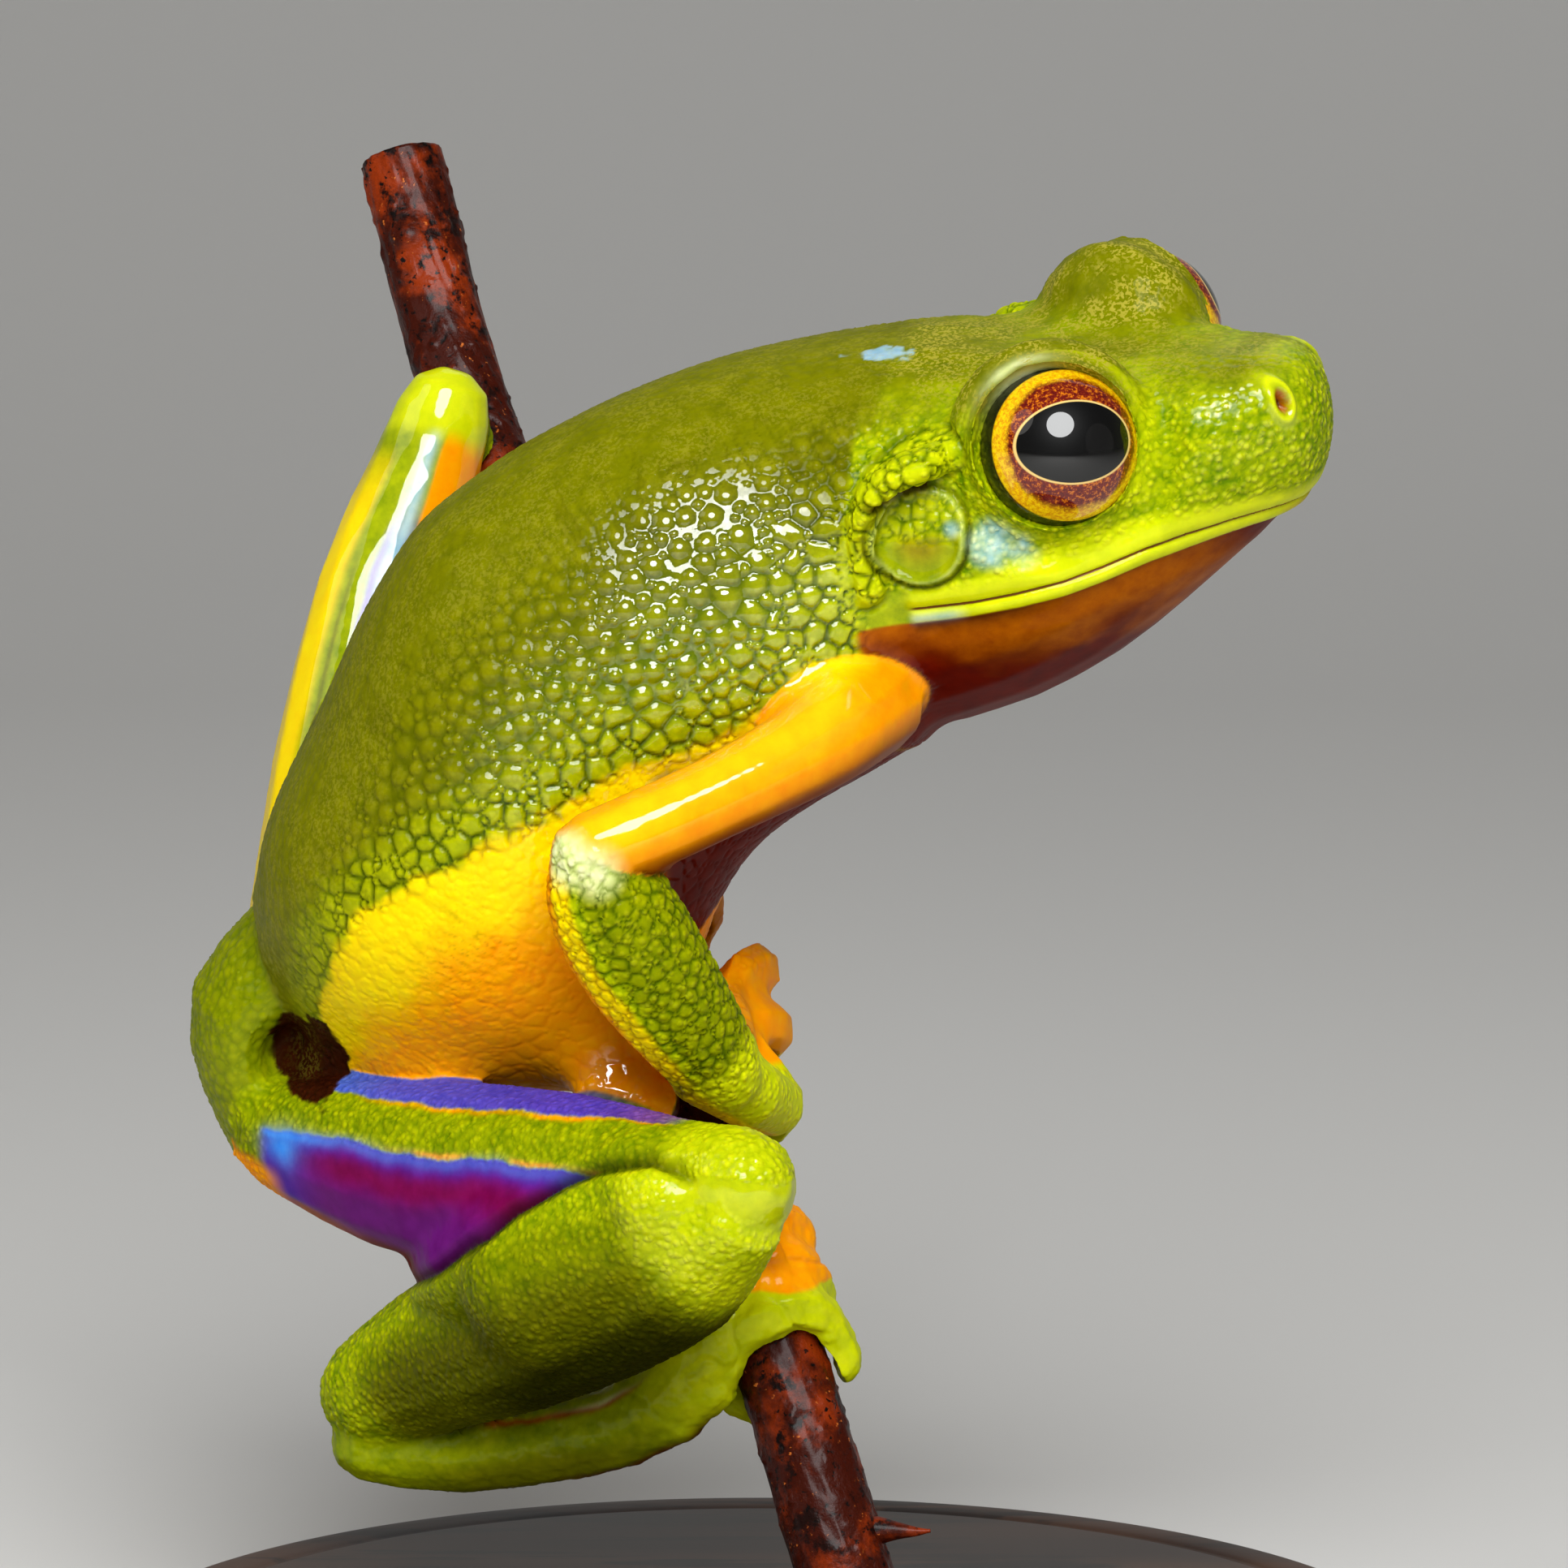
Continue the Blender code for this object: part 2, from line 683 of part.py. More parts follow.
def build_stand(part, wood, metal):
    """A flat round base with an eased edge and one short rod up to the twig's foot."""
    place = Matrix.Translation((0.0, 0.0, BASE_THICKNESS / 2 * MM))
    base = primitive(bmesh.ops.create_cone, "stand_base", part, place, cap_ends=True, segments=40,
                     radius1=BASE_RADIUS * MM, radius2=BASE_RADIUS * MM, depth=BASE_THICKNESS * MM)
    base.data.materials.append(wood)
    ease = base.modifiers.new("eased_edge", "BEVEL")
    ease.width = BASE_BEVEL * MM
    ease.segments = 2
    ease.limit_method = "ANGLE"
    ease.angle_limit = math.radians(50)
    foot = Vector(TWIG_PATH[0])
    along = (Vector(TWIG_PATH[1]) - foot).normalized()
    low = foot - along * ((foot.z - BASE_THICKNESS) / along.z)
    path = [(low + along * 0.75, ROD_RADIUS, ROD_RADIUS), (foot - along * (GAP + 0.02), ROD_RADIUS, ROD_RADIUS)]
    rings = [ring_points(spot, along, Vector((1, 0, 0)), wide, wide, wide, 2.0, 2.0, 16) for spot, wide, _ in path]
    add("stand_rod", skin_rings(rings), part, metal)


def right_hand(finish, part, scratch):
    """The near hand: three fingers round the twig's right side and one round its front."""
    palm = ((20.9, 40, 2.6), (1.9, 1.4, 0.8))
    place = grip(*palm[0])[0]
    wrist = Vector((-1.1, -4.5, 21.7))
    path = [(wrist, 1.3, 1.15), (wrist.lerp(place, 0.5), 1.35, 1.1), (place, 1.3, 0.9)]
    digits = [
        ([(19.3, 58, 2.7), (18.9, 88, 2.65), (19.0, 122, 2.3)], 0.9, 0.85),
        ([(20.8, 62, 3.05), (20.9, 92, 3.1), (21.0, 125, 2.5)], 0.95, 0.8),
        ([(22.1, 58, 3.2), (22.5, 88, 3.3), (22.7, 122, 2.6)], 0.95, 0.8),
        ([(20.4, 0, 2.3), (20.2, -45, 2.1), (20.1, -85, 2.1)], 0.75, 0.62),
    ]
    return fuse("hand_right", path, palm, digits, finish, part, scratch)


def left_hand(finish, part, scratch):
    """The far hand, behind the twig, its fingers round the right side."""
    palm = ((25.3, 165, 2.6), (1.8, 1.4, 0.85))
    place = grip(*palm[0])[0]
    wrist = Vector((-3.3, 10.9, 24.9))
    path = [(wrist, 1.2, 1.1), (wrist.lerp(place, 0.5), 1.2, 1.05), (place, 1.2, 0.9)]
    digits = [
        ([(26.8, 148, 2.75), (27.3, 112, 2.5), (27.4, 80, 2.25)], 0.85, 0.62),
        ([(25.9, 140, 2.75), (26.3, 104, 2.5), (26.3, 70, 2.25)], 0.9, 0.62),
        ([(25.0, 142, 2.7), (25.1, 112, 2.5), (25.1, 84, 2.25)], 0.85, 0.62),
        ([(25.6, 205, 2.4), (26.0, 238, 2.2), (26.2, 258, 2.1)], 0.75, 0.62),
    ]
    return fuse("hand_left", path, palm, digits, finish, part, scratch)


def right_foot(finish, part, scratch):
    """The near foot: tarsus below the shank, sole over the twig's front, toes to both sides."""
    palm = ((13.6, -50, 2.3), (1.64, 1.32, 0.84))
    place = grip(*palm[0])[0]
    path = [
        (Vector((-12.2, 2.3, 8.9)), 1.35, 1.3),
        (Vector((-9.2, 1.1, 8.7)), 1.25, 1.15),
        (Vector((-4.2, -1.1, 10.1)), 1.35, 1.15),
        (Vector((-1.8, -2.6, 12.2)), 1.5, 1.1),
        (place, 1.6, 0.9),
    ]
    digits = [
        ([(13.1, -20, 2.1), (13.3, 25, 1.95), (12.9, 68, 1.75), (11.7, 98, 1.75)], 0.65, 0.85),
        ([(14.4, -20, 2.1), (14.6, 25, 1.9), (14.3, 70, 1.7), (13.6, 112, 1.75)], 0.75, 0.8),
        ([(15.2, -30, 2.0), (15.8, 15, 1.8), (15.8, 60, 1.7), (15.5, 106, 1.8)], 0.8, 0.7),
        ([(12.8, -95, 2.2), (11.9, -122, 2.1), (11.4, -152, 2.0)], 0.8, 0.62),
        ([(13.7, -100, 2.2), (13.4, -130, 2.1), (13.2, -165, 2.0)], 0.8, 0.62),
    ]
    return fuse("foot_right", path, palm, digits, finish, part, scratch)


def left_foot(finish, part, scratch):
    """The far foot, reaching the twig from behind below the back."""
    palm = ((32.4, 200, 2.5), (1.6, 1.3, 0.8))
    place = grip(*palm[0])[0]
    path = [
        (Vector((-14.2, 14.9, 20.2)), 1.3, 1.2),
        (Vector((-11.4, 14.3, 22.4)), 1.15, 1.05),
        (Vector((-8.8, 13.8, 26.4)), 1.2, 1.05),
        (Vector((-7.7, 13.4, 30.0)), 1.3, 0.95),
        (place, 1.4, 0.9),
    ]
    digits = [
        ([(31.4, 170, 2.4), (30.8, 130, 2.2), (30.6, 95, 2.1)], 0.85, 0.66),
        ([(32.5, 165, 2.4), (32.3, 125, 2.2), (32.2, 85, 2.1)], 0.9, 0.66),
        ([(33.6, 170, 2.4), (34.0, 130, 2.2), (34.2, 95, 2.1)], 0.85, 0.62),
        ([(34.0, 215, 2.4), (35.2, 235, 2.2), (35.8, 255, 2.1)], 0.75, 0.6),
        ([(31.6, 225, 2.4), (31.0, 250, 2.2), (30.7, 270, 2.1)], 0.75, 0.6),
    ]
    return fuse("foot_left", path, palm, digits, finish, part, scratch)


def build_body(part, scratch, head_skin, back_skin):
    """Head and torso from one form, parted at the neck."""
    body = add("body", body_mesh(), scratch)
    pelvis = add("pelvis", limb_mesh(PELVIS_PATH, TRUNK_LEFT, steps=2, sides=14), scratch)
    groin = add("groin", limb_mesh(GROIN_PATH, TRUNK_LEFT, steps=2, sides=10), scratch)
    clear = [uncut(item, scratch) for item in (body, pelvis, groin)]
    boolean(body, "UNION", [pelvis, groin], scratch)
    shape_head(body, scratch)
    torso = add("torso", body.data.copy(), part, back_skin)
    boolean(torso, "INTERSECT", [half_space("behind", False, scratch)], scratch)
    head = add("head", body.data.copy(), part, head_skin)
    boolean(head, "INTERSECT", [half_space("ahead", True, scratch)], scratch)
    bpy.data.objects.remove(body, do_unlink=True)
    return head, torso, clear


def build_eyes(part, finish):
    for side, name in ((1, "eye_left"), (-1, "eye_right")):
        centre = on_head(*mirrored(EYE_CENTRE, side))
        eye = ball(name, part, centre, (EYE_RADIUS,) * 3, around=16, rings=10)
        eye.data.materials.append(finish)


def main():
    clear_scene()
    part = bpy.data.collections.new("tree_frog")
    scratch = bpy.data.collections.new("cutters")
    for made in (part, scratch):
        bpy.context.scene.collection.children.link(made)

    green = material("green_skin", (0.13, 0.26, 0.02), 0.32)
    olive = material("back_skin", (0.12, 0.2, 0.015), 0.3)
    orange = material("orange_skin", (0.85, 0.28, 0.01), 0.32)
    violet = material("thigh_skin", (0.2, 0.24, 0.06), 0.32)
    iris = material("eye", (0.55, 0.2, 0.02), 0.08)
    bark = material("bark", (0.09, 0.02, 0.008), 0.35)
    wood = material("stand_wood", (0.03, 0.018, 0.012), 0.45)
    steel = material("stand_steel", (0.5, 0.5, 0.5), 0.3, 1.0)

    twig = build_twig(part, scratch, bark)
    build_stand(part, wood, steel)
    head, torso, body_clear = build_body(part, scratch, green, olive)
    cut_clear(torso, [twig], scratch)
    cut_clear(head, [twig], scratch)
    build_eyes(part, iris)

    upright = Vector((0, 0, 1))
    sides = (
        ("right", RIGHT_THIGH, RIGHT_SHANK, RIGHT_UPPER_ARM, RIGHT_FOREARM, right_hand, right_foot),
        ("left", LEFT_THIGH, LEFT_SHANK, LEFT_UPPER_ARM, LEFT_FOREARM, left_hand, left_foot),
    )
    for side, thigh_path, shank_path, upper_path, fore_path, make_hand, make_foot in sides:
        thigh = add("thigh_" + side, limb_mesh(thigh_path, upright, sides=14), part, violet)
        shank = add("shank_" + side, limb_mesh(shank_path, upright, sides=14), part, green)
        upper = add("upper_arm_" + side, limb_mesh(upper_path, upright, sides=12), part, orange)
        fore = add("forearm_" + side, limb_mesh(fore_path, Vector((1, 0, 0.3)), sides=12), part, green)
        hand = make_hand(orange, part, scratch)
        foot = make_foot(green, part, scratch)
        whole_thigh = uncut(thigh, scratch)
        whole_shank = uncut(shank, scratch)
        whole_upper = uncut(upper, scratch)
        whole_fore = uncut(fore, scratch)
        cut_clear(thigh, [twig, *body_clear], scratch)
        cut_clear(shank, [whole_thigh, twig, *body_clear], scratch)
        cut_clear(upper, body_clear, scratch)
        cut_clear(fore, [whole_upper, twig, whole_thigh, *body_clear], scratch)
        cut_clear(hand, [whole_fore, twig, whole_thigh, whole_shank, *body_clear], scratch)
        cut_clear(foot, [whole_shank, twig, whole_thigh, *body_clear], scratch)

    for item in list(scratch.objects):
        bpy.data.objects.remove(item, do_unlink=True)
    bpy.data.collections.remove(scratch)
    for made in part.objects:
        made.data.shade_smooth()
        made.data.set_sharp_from_angle(angle=math.radians(40))


main()
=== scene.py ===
"""A still model of a green tree frog that holds a cut twig on a small display stand."""

import math

import bmesh
import bpy
import numpy as np
from mathutils import Matrix, Vector
from mathutils.kdtree import KDTree


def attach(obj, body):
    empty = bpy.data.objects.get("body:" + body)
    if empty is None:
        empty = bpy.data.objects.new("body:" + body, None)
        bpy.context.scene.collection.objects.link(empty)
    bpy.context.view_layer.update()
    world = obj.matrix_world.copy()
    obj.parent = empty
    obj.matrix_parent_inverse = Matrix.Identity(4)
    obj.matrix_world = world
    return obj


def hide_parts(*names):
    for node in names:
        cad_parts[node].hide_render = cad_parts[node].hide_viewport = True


MM = 0.001

# The camera: image size and the column of x = 0 in pixels; one pixel at the frog and lengths in mm
IMAGE_SIZE = 1932
PIXEL = 0.025
ORIGIN_COLUMN = 935
SENSOR_WIDTH = 36.0
VIEW_HEIGHT = math.radians(8.0)
VIEW_DISTANCE = 280.0
VIEW_TARGET = Vector(((IMAGE_SIZE // 2 - ORIGIN_COLUMN) * PIXEL, 0.0, 30.0))

# The studio floor and the wall that it curves up into, in metres
FLOOR_FRONT, FLOOR_BACK, FLOOR_HALF_WIDTH = -1.2, 0.5, 1.2
WALL_HEIGHT, WALL_CURVE, WALL_CURVE_STEPS = 1.2, 0.25, 12
PAPER_COLOUR = (0.72, 0.71, 0.69, 1.0)

# Lights: degrees round from the front and up, then distance and size in metres, power and colour
LIGHTS = {
    "key_light": (2, 39, 0.32, 0.21, 1.42, (0.99, 1.0, 1.0)),
    "side_light": (-70, 35, 0.5, 0.3, 0.25, (1.0, 0.97, 0.92)),
    "fill_light": (60, 10, 0.6, 0.5, 0.06, (1.0, 0.96, 0.9)),
    "back_light": (165, 45, 0.6, 0.4, 0.22, (1.0, 1.0, 1.0)),
}
LIGHTS_AIM = Vector((0.0, 0.0, 0.033))
ROOM_LIGHT = 0.08

# The frog's own measures, in millimetres, as the CAD source has them.
HEAD_MIDDLE = np.array((10.2, -0.8, 42.2))
HEAD_FORWARD = np.array((0.942, -0.331, 0.046))
HEAD_LEFT = np.array((0.303, 0.904, 0.299))
EYE_CENTRE = np.array((0.05, 4.0, -0.15))
EYE_RADIUS = 2.5
EYE_LOOK = np.array((0.30, 0.87, 0.38))
PUPIL_AXIS = np.array((0.517, 0.764, 0.398))
PUPIL_TILT = math.radians(7.0)
# Half sizes of the pupil in degrees, how much smaller the ball is made and how far its clear front stands out
PUPIL_HALF_WIDTH = 43.5
PUPIL_HALF_HEIGHT = 28.5
EYE_INSET = 0.02
CORNEA_RISE = 0.05
EYE_RINGS, EYE_SEGMENTS = 96, 128
# The lids: how far from the eye's middle they are drawn, their turn towards the pupil in degrees, how far
# in they are tucked, and how far the brow of the left and of the right eye is pushed out
LID_REACH, LID_FULL = 4.2, 3.3
LID_TURN = 16.0
LID_TUCK = 0.36
BROW_RISE = {1: 0.16, -1: -0.04}
# The far eye stands a little further forward and higher than the near one, in millimetres
FAR_EYE_SHIFT = np.array((0.32, 0.0, 0.52))
FAR_LID_SHIFT = np.array((0.5, 0.0, 0.6))
# Share of that shift forward that each millimetre further forward takes away
FAR_LID_SQUEEZE = 0.3
# How far from the head's middle plane its sides begin, with their ear and folds
HEAD_SIDE = 4.2
EAR_CENTRE = np.array((-4.02, 6.3, -2.14))
EAR_RADIUS = 1.38
NOSTRIL = np.array((6.42, 1.75, 0.38))
NOSTRIL_OUT = (0.879, 0.478)
NOSTRIL_HALF_SIZE = (0.24, 0.42)
# The mouth line: height in head axes at places forward of the head's middle
MOUTH_PLACES = (-4.4, -3.0, -1.3, 0.2, 1.3, 2.5, 3.6, 4.7, 5.6, 6.6, 7.4)
MOUTH_HEIGHTS = (-4.42, -4.3, -4.12, -3.92, -3.68, -3.38, -3.2, -3.12, -3.16, -3.26, -3.3)
# The fold from behind the eye, over the ear and down to the shoulder, in head axes
FOLD_LINE = [(-3.1, 6.1, 0.2), (-4.3, 6.4, -0.05), (-5.2, 6.6, -0.6), (-5.75, 6.6, -1.4),
             (-5.9, 6.6, -2.6), (-5.7, 6.6, -3.6)]
SLIT_LINE = [(-5.15, 6.7, -0.9), (-3.8, 6.0, -0.64)]
# Where the calf folds against the knee, in millimetres
KNEE_CREASE = [(-11.2, -0.6, 14.35), (-9.9, -2.79, 15.61), (-8.77, -4.97, 16.82), (-7.51, -6.45, 17.93),
               (-5.9, -7.75, 19.06), (-4.78, -8.46, 19.67), (-3.99, -8.94, 19.98), (-3.21, -9.5, 20.18),
               (-2.52, -10.24, 19.97), (-2.1, -10.82, 19.63)]
# Soft flesh that fills the spaces between the solids: middles and radii
FILLINGS = {
    "calf": [(-9.65, -1.84, 14.76, 1.2), (-8.4, -3.6, 15.6, 1.9), (-7.07, -4.77, 16.43, 2.3),
             (-5.4, -5.85, 17.36, 2.6), (-4.3, -6.56, 17.97, 2.55), (-3.6, -7.2, 18.4, 2.4),
             (-3.2, -7.85, 18.7, 2.2), (-2.7, -9.2, 18.6, 1.9)],
    "calf_front": [(-6.2, -5.6, 15.6, 2.9), (-4.2, -7.2, 16.8, 2.6), (-2.8, -8.6, 17.6, 2.2)],
    "low_belly": [(-8.0, 1.4, 22.7, 2.3), (-6.9, 1.5, 22.35, 2.4), (-6.0, 1.6, 22.35, 2.35),
                  (-5.0, 0.2, 22.4, 1.8), (-4.0, -0.6, 22.5, 1.5)],
    "web": [(-4.7, -1.4, 20.7, 1.0), (-3.3, -1.7, 20.3, 0.9)],
    "wrist": [(-1.55, -4.5, 21.85, 1.2), (-0.4, -2.8, 20.9, 1.15), (0.45, -0.6, 20.05, 0.95)],
}
# Middles of the pale kneecap, of the painted shade in the groin's hollow (across and up) and of the wet
# places
KNEE_TIP = (-0.7, -10.4, 18.8)
GROIN_SHADE = (-14.05, 21.25)
WET_FLANK = (-0.9, -5.6, 36.3)
DAMP_FLANK = (-5.0, -5.4, 32.6)
WET_WEB = (-4.6, -2.3, 21.0)

TRUNK_LEFT = np.array((-0.287, 0.94, 0.179))
# Trunk sections from the neck back: middle, forward, half width, back, belly
TRUNK_LINE = [
    ((3.8, 2.0, 37.7), (0.913, -0.236, 0.333), 6.4, 6.4, 6.3),
    ((0.1, 1.6, 35.9), (0.803, -0.12, 0.584), 6.4, 7.7, 6.8),
    ((-5.0, 1.6, 32.7), (0.696, -0.081, 0.714), 6.7, 7.9, 6.8),
    ((-8.2, 2.2, 28.1), (0.592, -0.069, 0.803), 7.1, 6.7, 7.5),
    ((-9.9, 2.7, 24.7), (0.492, -0.06, 0.869), 6.3, 6.6, 7.4),
    ((-11.4, 3.3, 22.4), (0.41, -0.04, 0.91), 4.6, 4.6, 5.4),
    ((-12.2, 3.6, 21.2), (0.36, -0.02, 0.93), 2.4, 2.4, 2.8),
]

# Limb lines: middles and radii
LIMB_LINES = {
    "pelvis": [(-12.6, 4.1, 26.4, 1.6), (-14.6, 4.4, 24.2, 2.2), (-16.6, 4.7, 22.2, 2.0),
               (-16.4, 4.8, 20.0, 1.8), (-15.5, 4.7, 18.0, 1.5)],
    "groin": [(-11.6, 4.4, 22.4, 2.2), (-14.0, 5.2, 20.6, 2.1), (-15.0, 5.2, 19.0, 1.5)],
    "thigh_right": [(-15.2, 3.6, 18.5, 1.7), (-12.9, 1.5, 18.3, 2.4), (-9.6, -1.5, 18.1, 2.9),
                    (-5.5, -5.2, 18.6, 2.65), (-2.4, -8.2, 19.0, 2.0), (-0.5, -10.0, 19.3, 1.8)],
    "shank_right": [(-0.9, -9.9, 18.2, 1.8), (-2.4, -8.3, 17.0, 2.7), (-4.4, -6.1, 15.7, 3.0),
                    (-7.4, -2.9, 13.7, 2.8), (-10.2, 0.2, 11.9, 2.3), (-12.2, 2.2, 10.4, 1.8)],
    "foot_right": [(-12.2, 2.3, 8.9, 1.35), (-9.2, 1.1, 8.7, 1.25), (-4.2, -1.1, 10.1, 1.35),
                   (-1.8, -2.6, 12.2, 1.5), (0.2, -2.6, 13.6, 1.6), (0.5, -2.4, 15.8, 1.7)],
    "thigh_left": [(-15.4, 6.6, 20.3, 1.8), (-14.2, 7.8, 23.8, 2.4), (-13.2, 9.4, 29.0, 2.65),
                   (-12.0, 10.9, 34.6, 2.3), (-10.7, 11.8, 38.4, 1.8), (-10.1, 12.0, 40.3, 1.55)],
    "shank_left": [(-9.9, 13.2, 39.4, 1.6), (-10.2, 14.7, 37.0, 2.2), (-11.6, 15.9, 32.6, 2.5),
                   (-13.0, 15.9, 26.8, 2.4), (-14.0, 15.2, 22.4, 1.8), (-14.3, 14.9, 20.9, 1.6)],
    "foot_left": [(-14.2, 14.9, 20.2, 1.3), (-11.4, 14.3, 22.4, 1.15), (-8.8, 13.8, 26.4, 1.2),
                  (-7.7, 13.4, 30.0, 1.3), (-6.4, 12.6, 32.4, 1.4)],
    "upper_arm_right": [(3.4, -1.9, 33.0, 1.9), (2.4, -4.2, 32.4, 1.9), (1.1, -5.5, 31.6, 1.8),
                        (-1.3, -6.7, 30.5, 1.6), (-3.7, -7.5, 29.5, 1.4), (-5.0, -7.7, 29.0, 1.25)],
    "forearm_right": [(-5.1, -7.6, 28.6, 1.4), (-4.5, -7.3, 27.4, 1.9), (-3.3, -6.5, 25.2, 1.95),
                      (-1.9, -5.3, 23.0, 1.6), (-1.1, -4.5, 21.7, 1.35), (-0.3, -2.8, 20.8, 1.2),
                      (0.45, -0.6, 20.0, 1.0)],
    "upper_arm_left": [(0.8, 5.2, 34.4, 2.0), (0.5, 8.4, 33.7, 1.75), (-0.7, 11.8, 32.0, 1.5),
                       (-1.9, 14.4, 30.4, 1.3)],
    "forearm_left": [(-2.0, 14.7, 30.1, 1.4), (-2.2, 14.3, 29.0, 1.8), (-2.8, 12.9, 26.9, 1.7),
                     (-3.3, 11.0, 25.0, 1.25)],
    "hand_right": [(-1.75, 1.35, 19.1, 2.6), (-2.2, 2.1, 20.5, 2.9), (-3.6, 4.6, 24.6, 2.9)],
    "hand_left": [(-3.6, 4.6, 24.6, 2.8), (-5.0, 7.5, 28.2, 2.8)],
}

# Limbs that stand upright, whose turn of 90 degrees is towards x; for the others it is up
UPRIGHT_LIMBS = {name: (1.0, 0.0, 0.0) for name in
                 ("forearm_right", "forearm_left", "thigh_left", "shank_left", "foot_left")}

# Head half sections from the snout back: forward, middle, half width, top, bottom
HEAD_SHAPE = [(7.32, -0.9, 0.6, 0.6, 0.6), (7.1, -0.9, 1.35, 1.35, 1.45), (6.7, -0.9, 1.95, 1.95, 2.3),
              (5.9, -1.0, 2.6, 2.35, 2.85), (4.5, -1.6, 3.5, 3.0, 3.3), (2.3, -2.6, 4.65, 4.1, 4.1),
              (0.0, -3.3, 5.75, 4.9, 5.1), (-2.5, -3.8, 6.4, 5.5, 5.9), (-4.8, -4.1, 6.5, 6.05, 6.3)]

# Where green skin ends above the belly: turn from the side, at places along the trunk
BELLY_EDGE_PLACES = (0.0, 0.7, 1.0, 1.33, 1.61, 1.88, 2.26, 2.62, 3.0, 3.68, 4.27, 5.0)
BELLY_EDGE_TURNS = (-12, -8, -3, -6, -5, 2, 9, 18, 29, 45, 49, 52)

MASKS = ("olive", "lime", "lemon", "yellow", "orange", "rust", "red", "blue", "violet", "magenta", "pale",
         "cream", "brown")
# Skin colours by mask: between the granules, and on their tips
SKIN_LAYERS = (
    ("green", (92, 112, 1), (152, 158, 2)),
    ("olive", (92, 98, 1), (128, 128, 2)),
    ("lime", (96, 128, 1), (196, 204, 4)),
    ("lemon", (190, 204, 2), (226, 230, 10)),
    ("yellow", (250, 206, 1), (255, 228, 2)),
    ("orange", (254, 140, 1), (255, 172, 1)),
    ("rust", (128, 52, 1), (184, 100, 1)),
    ("red", (74, 6, 1), (110, 18, 1)),
    ("blue", (38, 124, 236), (88, 168, 250)),
    ("violet", (66, 20, 142), (94, 42, 176)),
    ("magenta", (106, 2, 60), (134, 10, 86)),
    ("pale", (128, 186, 204), (206, 230, 226)),
    ("cream", (206, 222, 120), (246, 246, 190)),
    ("brown", (44, 14, 4), (76, 28, 8)),
)

# The twig: radii at its foot and top, places for its knot and thorn as height, turn and distance
TWIG_RADII = (1.46, 1.34)
TWIG_SIDES = 96
TWIG_STEPS = 60
TWIG_KNOT = (45.2, -15, TWIG_RADII[1])
THORN_LINE = ((7.0, 80, 0.9), (6.95, 81, 1.35), (6.8, 82, 1.9), (6.6, 83, 2.5), (6.5, 84, 2.94))
TWIG_PATH = [(2.8, -4.4, 5.6), (0.7, -2.0, 12.2), (-1.4, 0.8, 18.3), (-3.5, 4.4, 24.1),
             (-5.3, 8.2, 29.3), (-7.3, 11.7, 34.5), (-9.1, 14.9, 39.2), (-10.3, 16.9, 42.7),
             (-11.7, 19.1, 47.9)]

# The stand, with its groove as steps in from the eased edge and depths
BASE_RADIUS = 21.0
BASE_THICKNESS = 3.0
BASE_EDGE = 0.5
BASE_EDGE_STEPS, BASE_SEGMENTS = 8, 256
BASE_GROOVE = ((1.0, 0.0), (1.1, 0.08), (1.3, 0.14), (1.5, 0.08), (1.6, 0.0))
ROD_RADIUS = 1.0
ROD_STEPS, ROD_SIDES = 24, 48

FLESH = ("head", "torso", "upper_arm_right", "upper_arm_left", "forearm_right", "forearm_left",
         "hand_right", "hand_left", "thigh_right", "thigh_left", "shank_right", "shank_left",
         "foot_right", "foot_left")
# How far the solids swell, so that the thin cuts between them close, in millimetres
SWELL = 0.19
# How far the flat sides of the trunk are rounded out, in square millimetres
TRUNK_SMOOTHING = 5.0
VOXEL = 0.165
# How softly one part of the body gives way to the next, in shares of their radii
BORDER_SOFTNESS = 0.07
# Stands for any distance or share too large to matter
FAR = 9.0

# Granules: least and greatest share of the size asked for, and how many places are tried, in three rounds
GRANULE_ROUNDS = ((0.85, 1.15, 60000), (0.5, 0.75, 60000), (0.28, 0.4, 90000))
GRANULE_SEED = 11
GRANULE_CLEARANCE = 0.9
GRANULE_CELL = 0.8
LEAST_GRANULE_HEIGHT = 0.008

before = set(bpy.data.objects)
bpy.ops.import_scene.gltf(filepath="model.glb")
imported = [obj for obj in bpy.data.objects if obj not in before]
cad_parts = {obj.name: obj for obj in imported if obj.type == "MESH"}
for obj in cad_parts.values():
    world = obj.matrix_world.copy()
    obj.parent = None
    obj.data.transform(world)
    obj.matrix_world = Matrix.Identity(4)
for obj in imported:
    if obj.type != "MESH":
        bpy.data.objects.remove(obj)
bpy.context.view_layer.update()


def unit(vector):
    """Vectors brought to a length of 1."""
    vector = np.asarray(vector, dtype=float)
    return vector / np.linalg.norm(vector, axis=-1, keepdims=True)


def smooth_step(low, high, values):
    """0 at low, 1 at high and a soft slope between them; low may be the larger."""
    share = np.clip((values - low) / (high - low), 0.0, 1.0)
    return share * share * (3.0 - 2.0 * share)


def head_axes():
    """Forward, left and up of the head, square to each other."""
    forward = unit(HEAD_FORWARD)
    left = unit(HEAD_LEFT - forward * np.dot(forward, HEAD_LEFT))
    return np.stack((forward, left, np.cross(forward, left)))


HEAD_AXES = head_axes()


def in_head(points):
    """Forward, left and up of points in the head's own axes."""
    return (points - HEAD_MIDDLE) @ HEAD_AXES.T


def from_head(place):
    """The point at a place in the head's own axes."""
    return HEAD_MIDDLE + np.asarray(place) @ HEAD_AXES


# Value noise on a lattice, the same on every run.

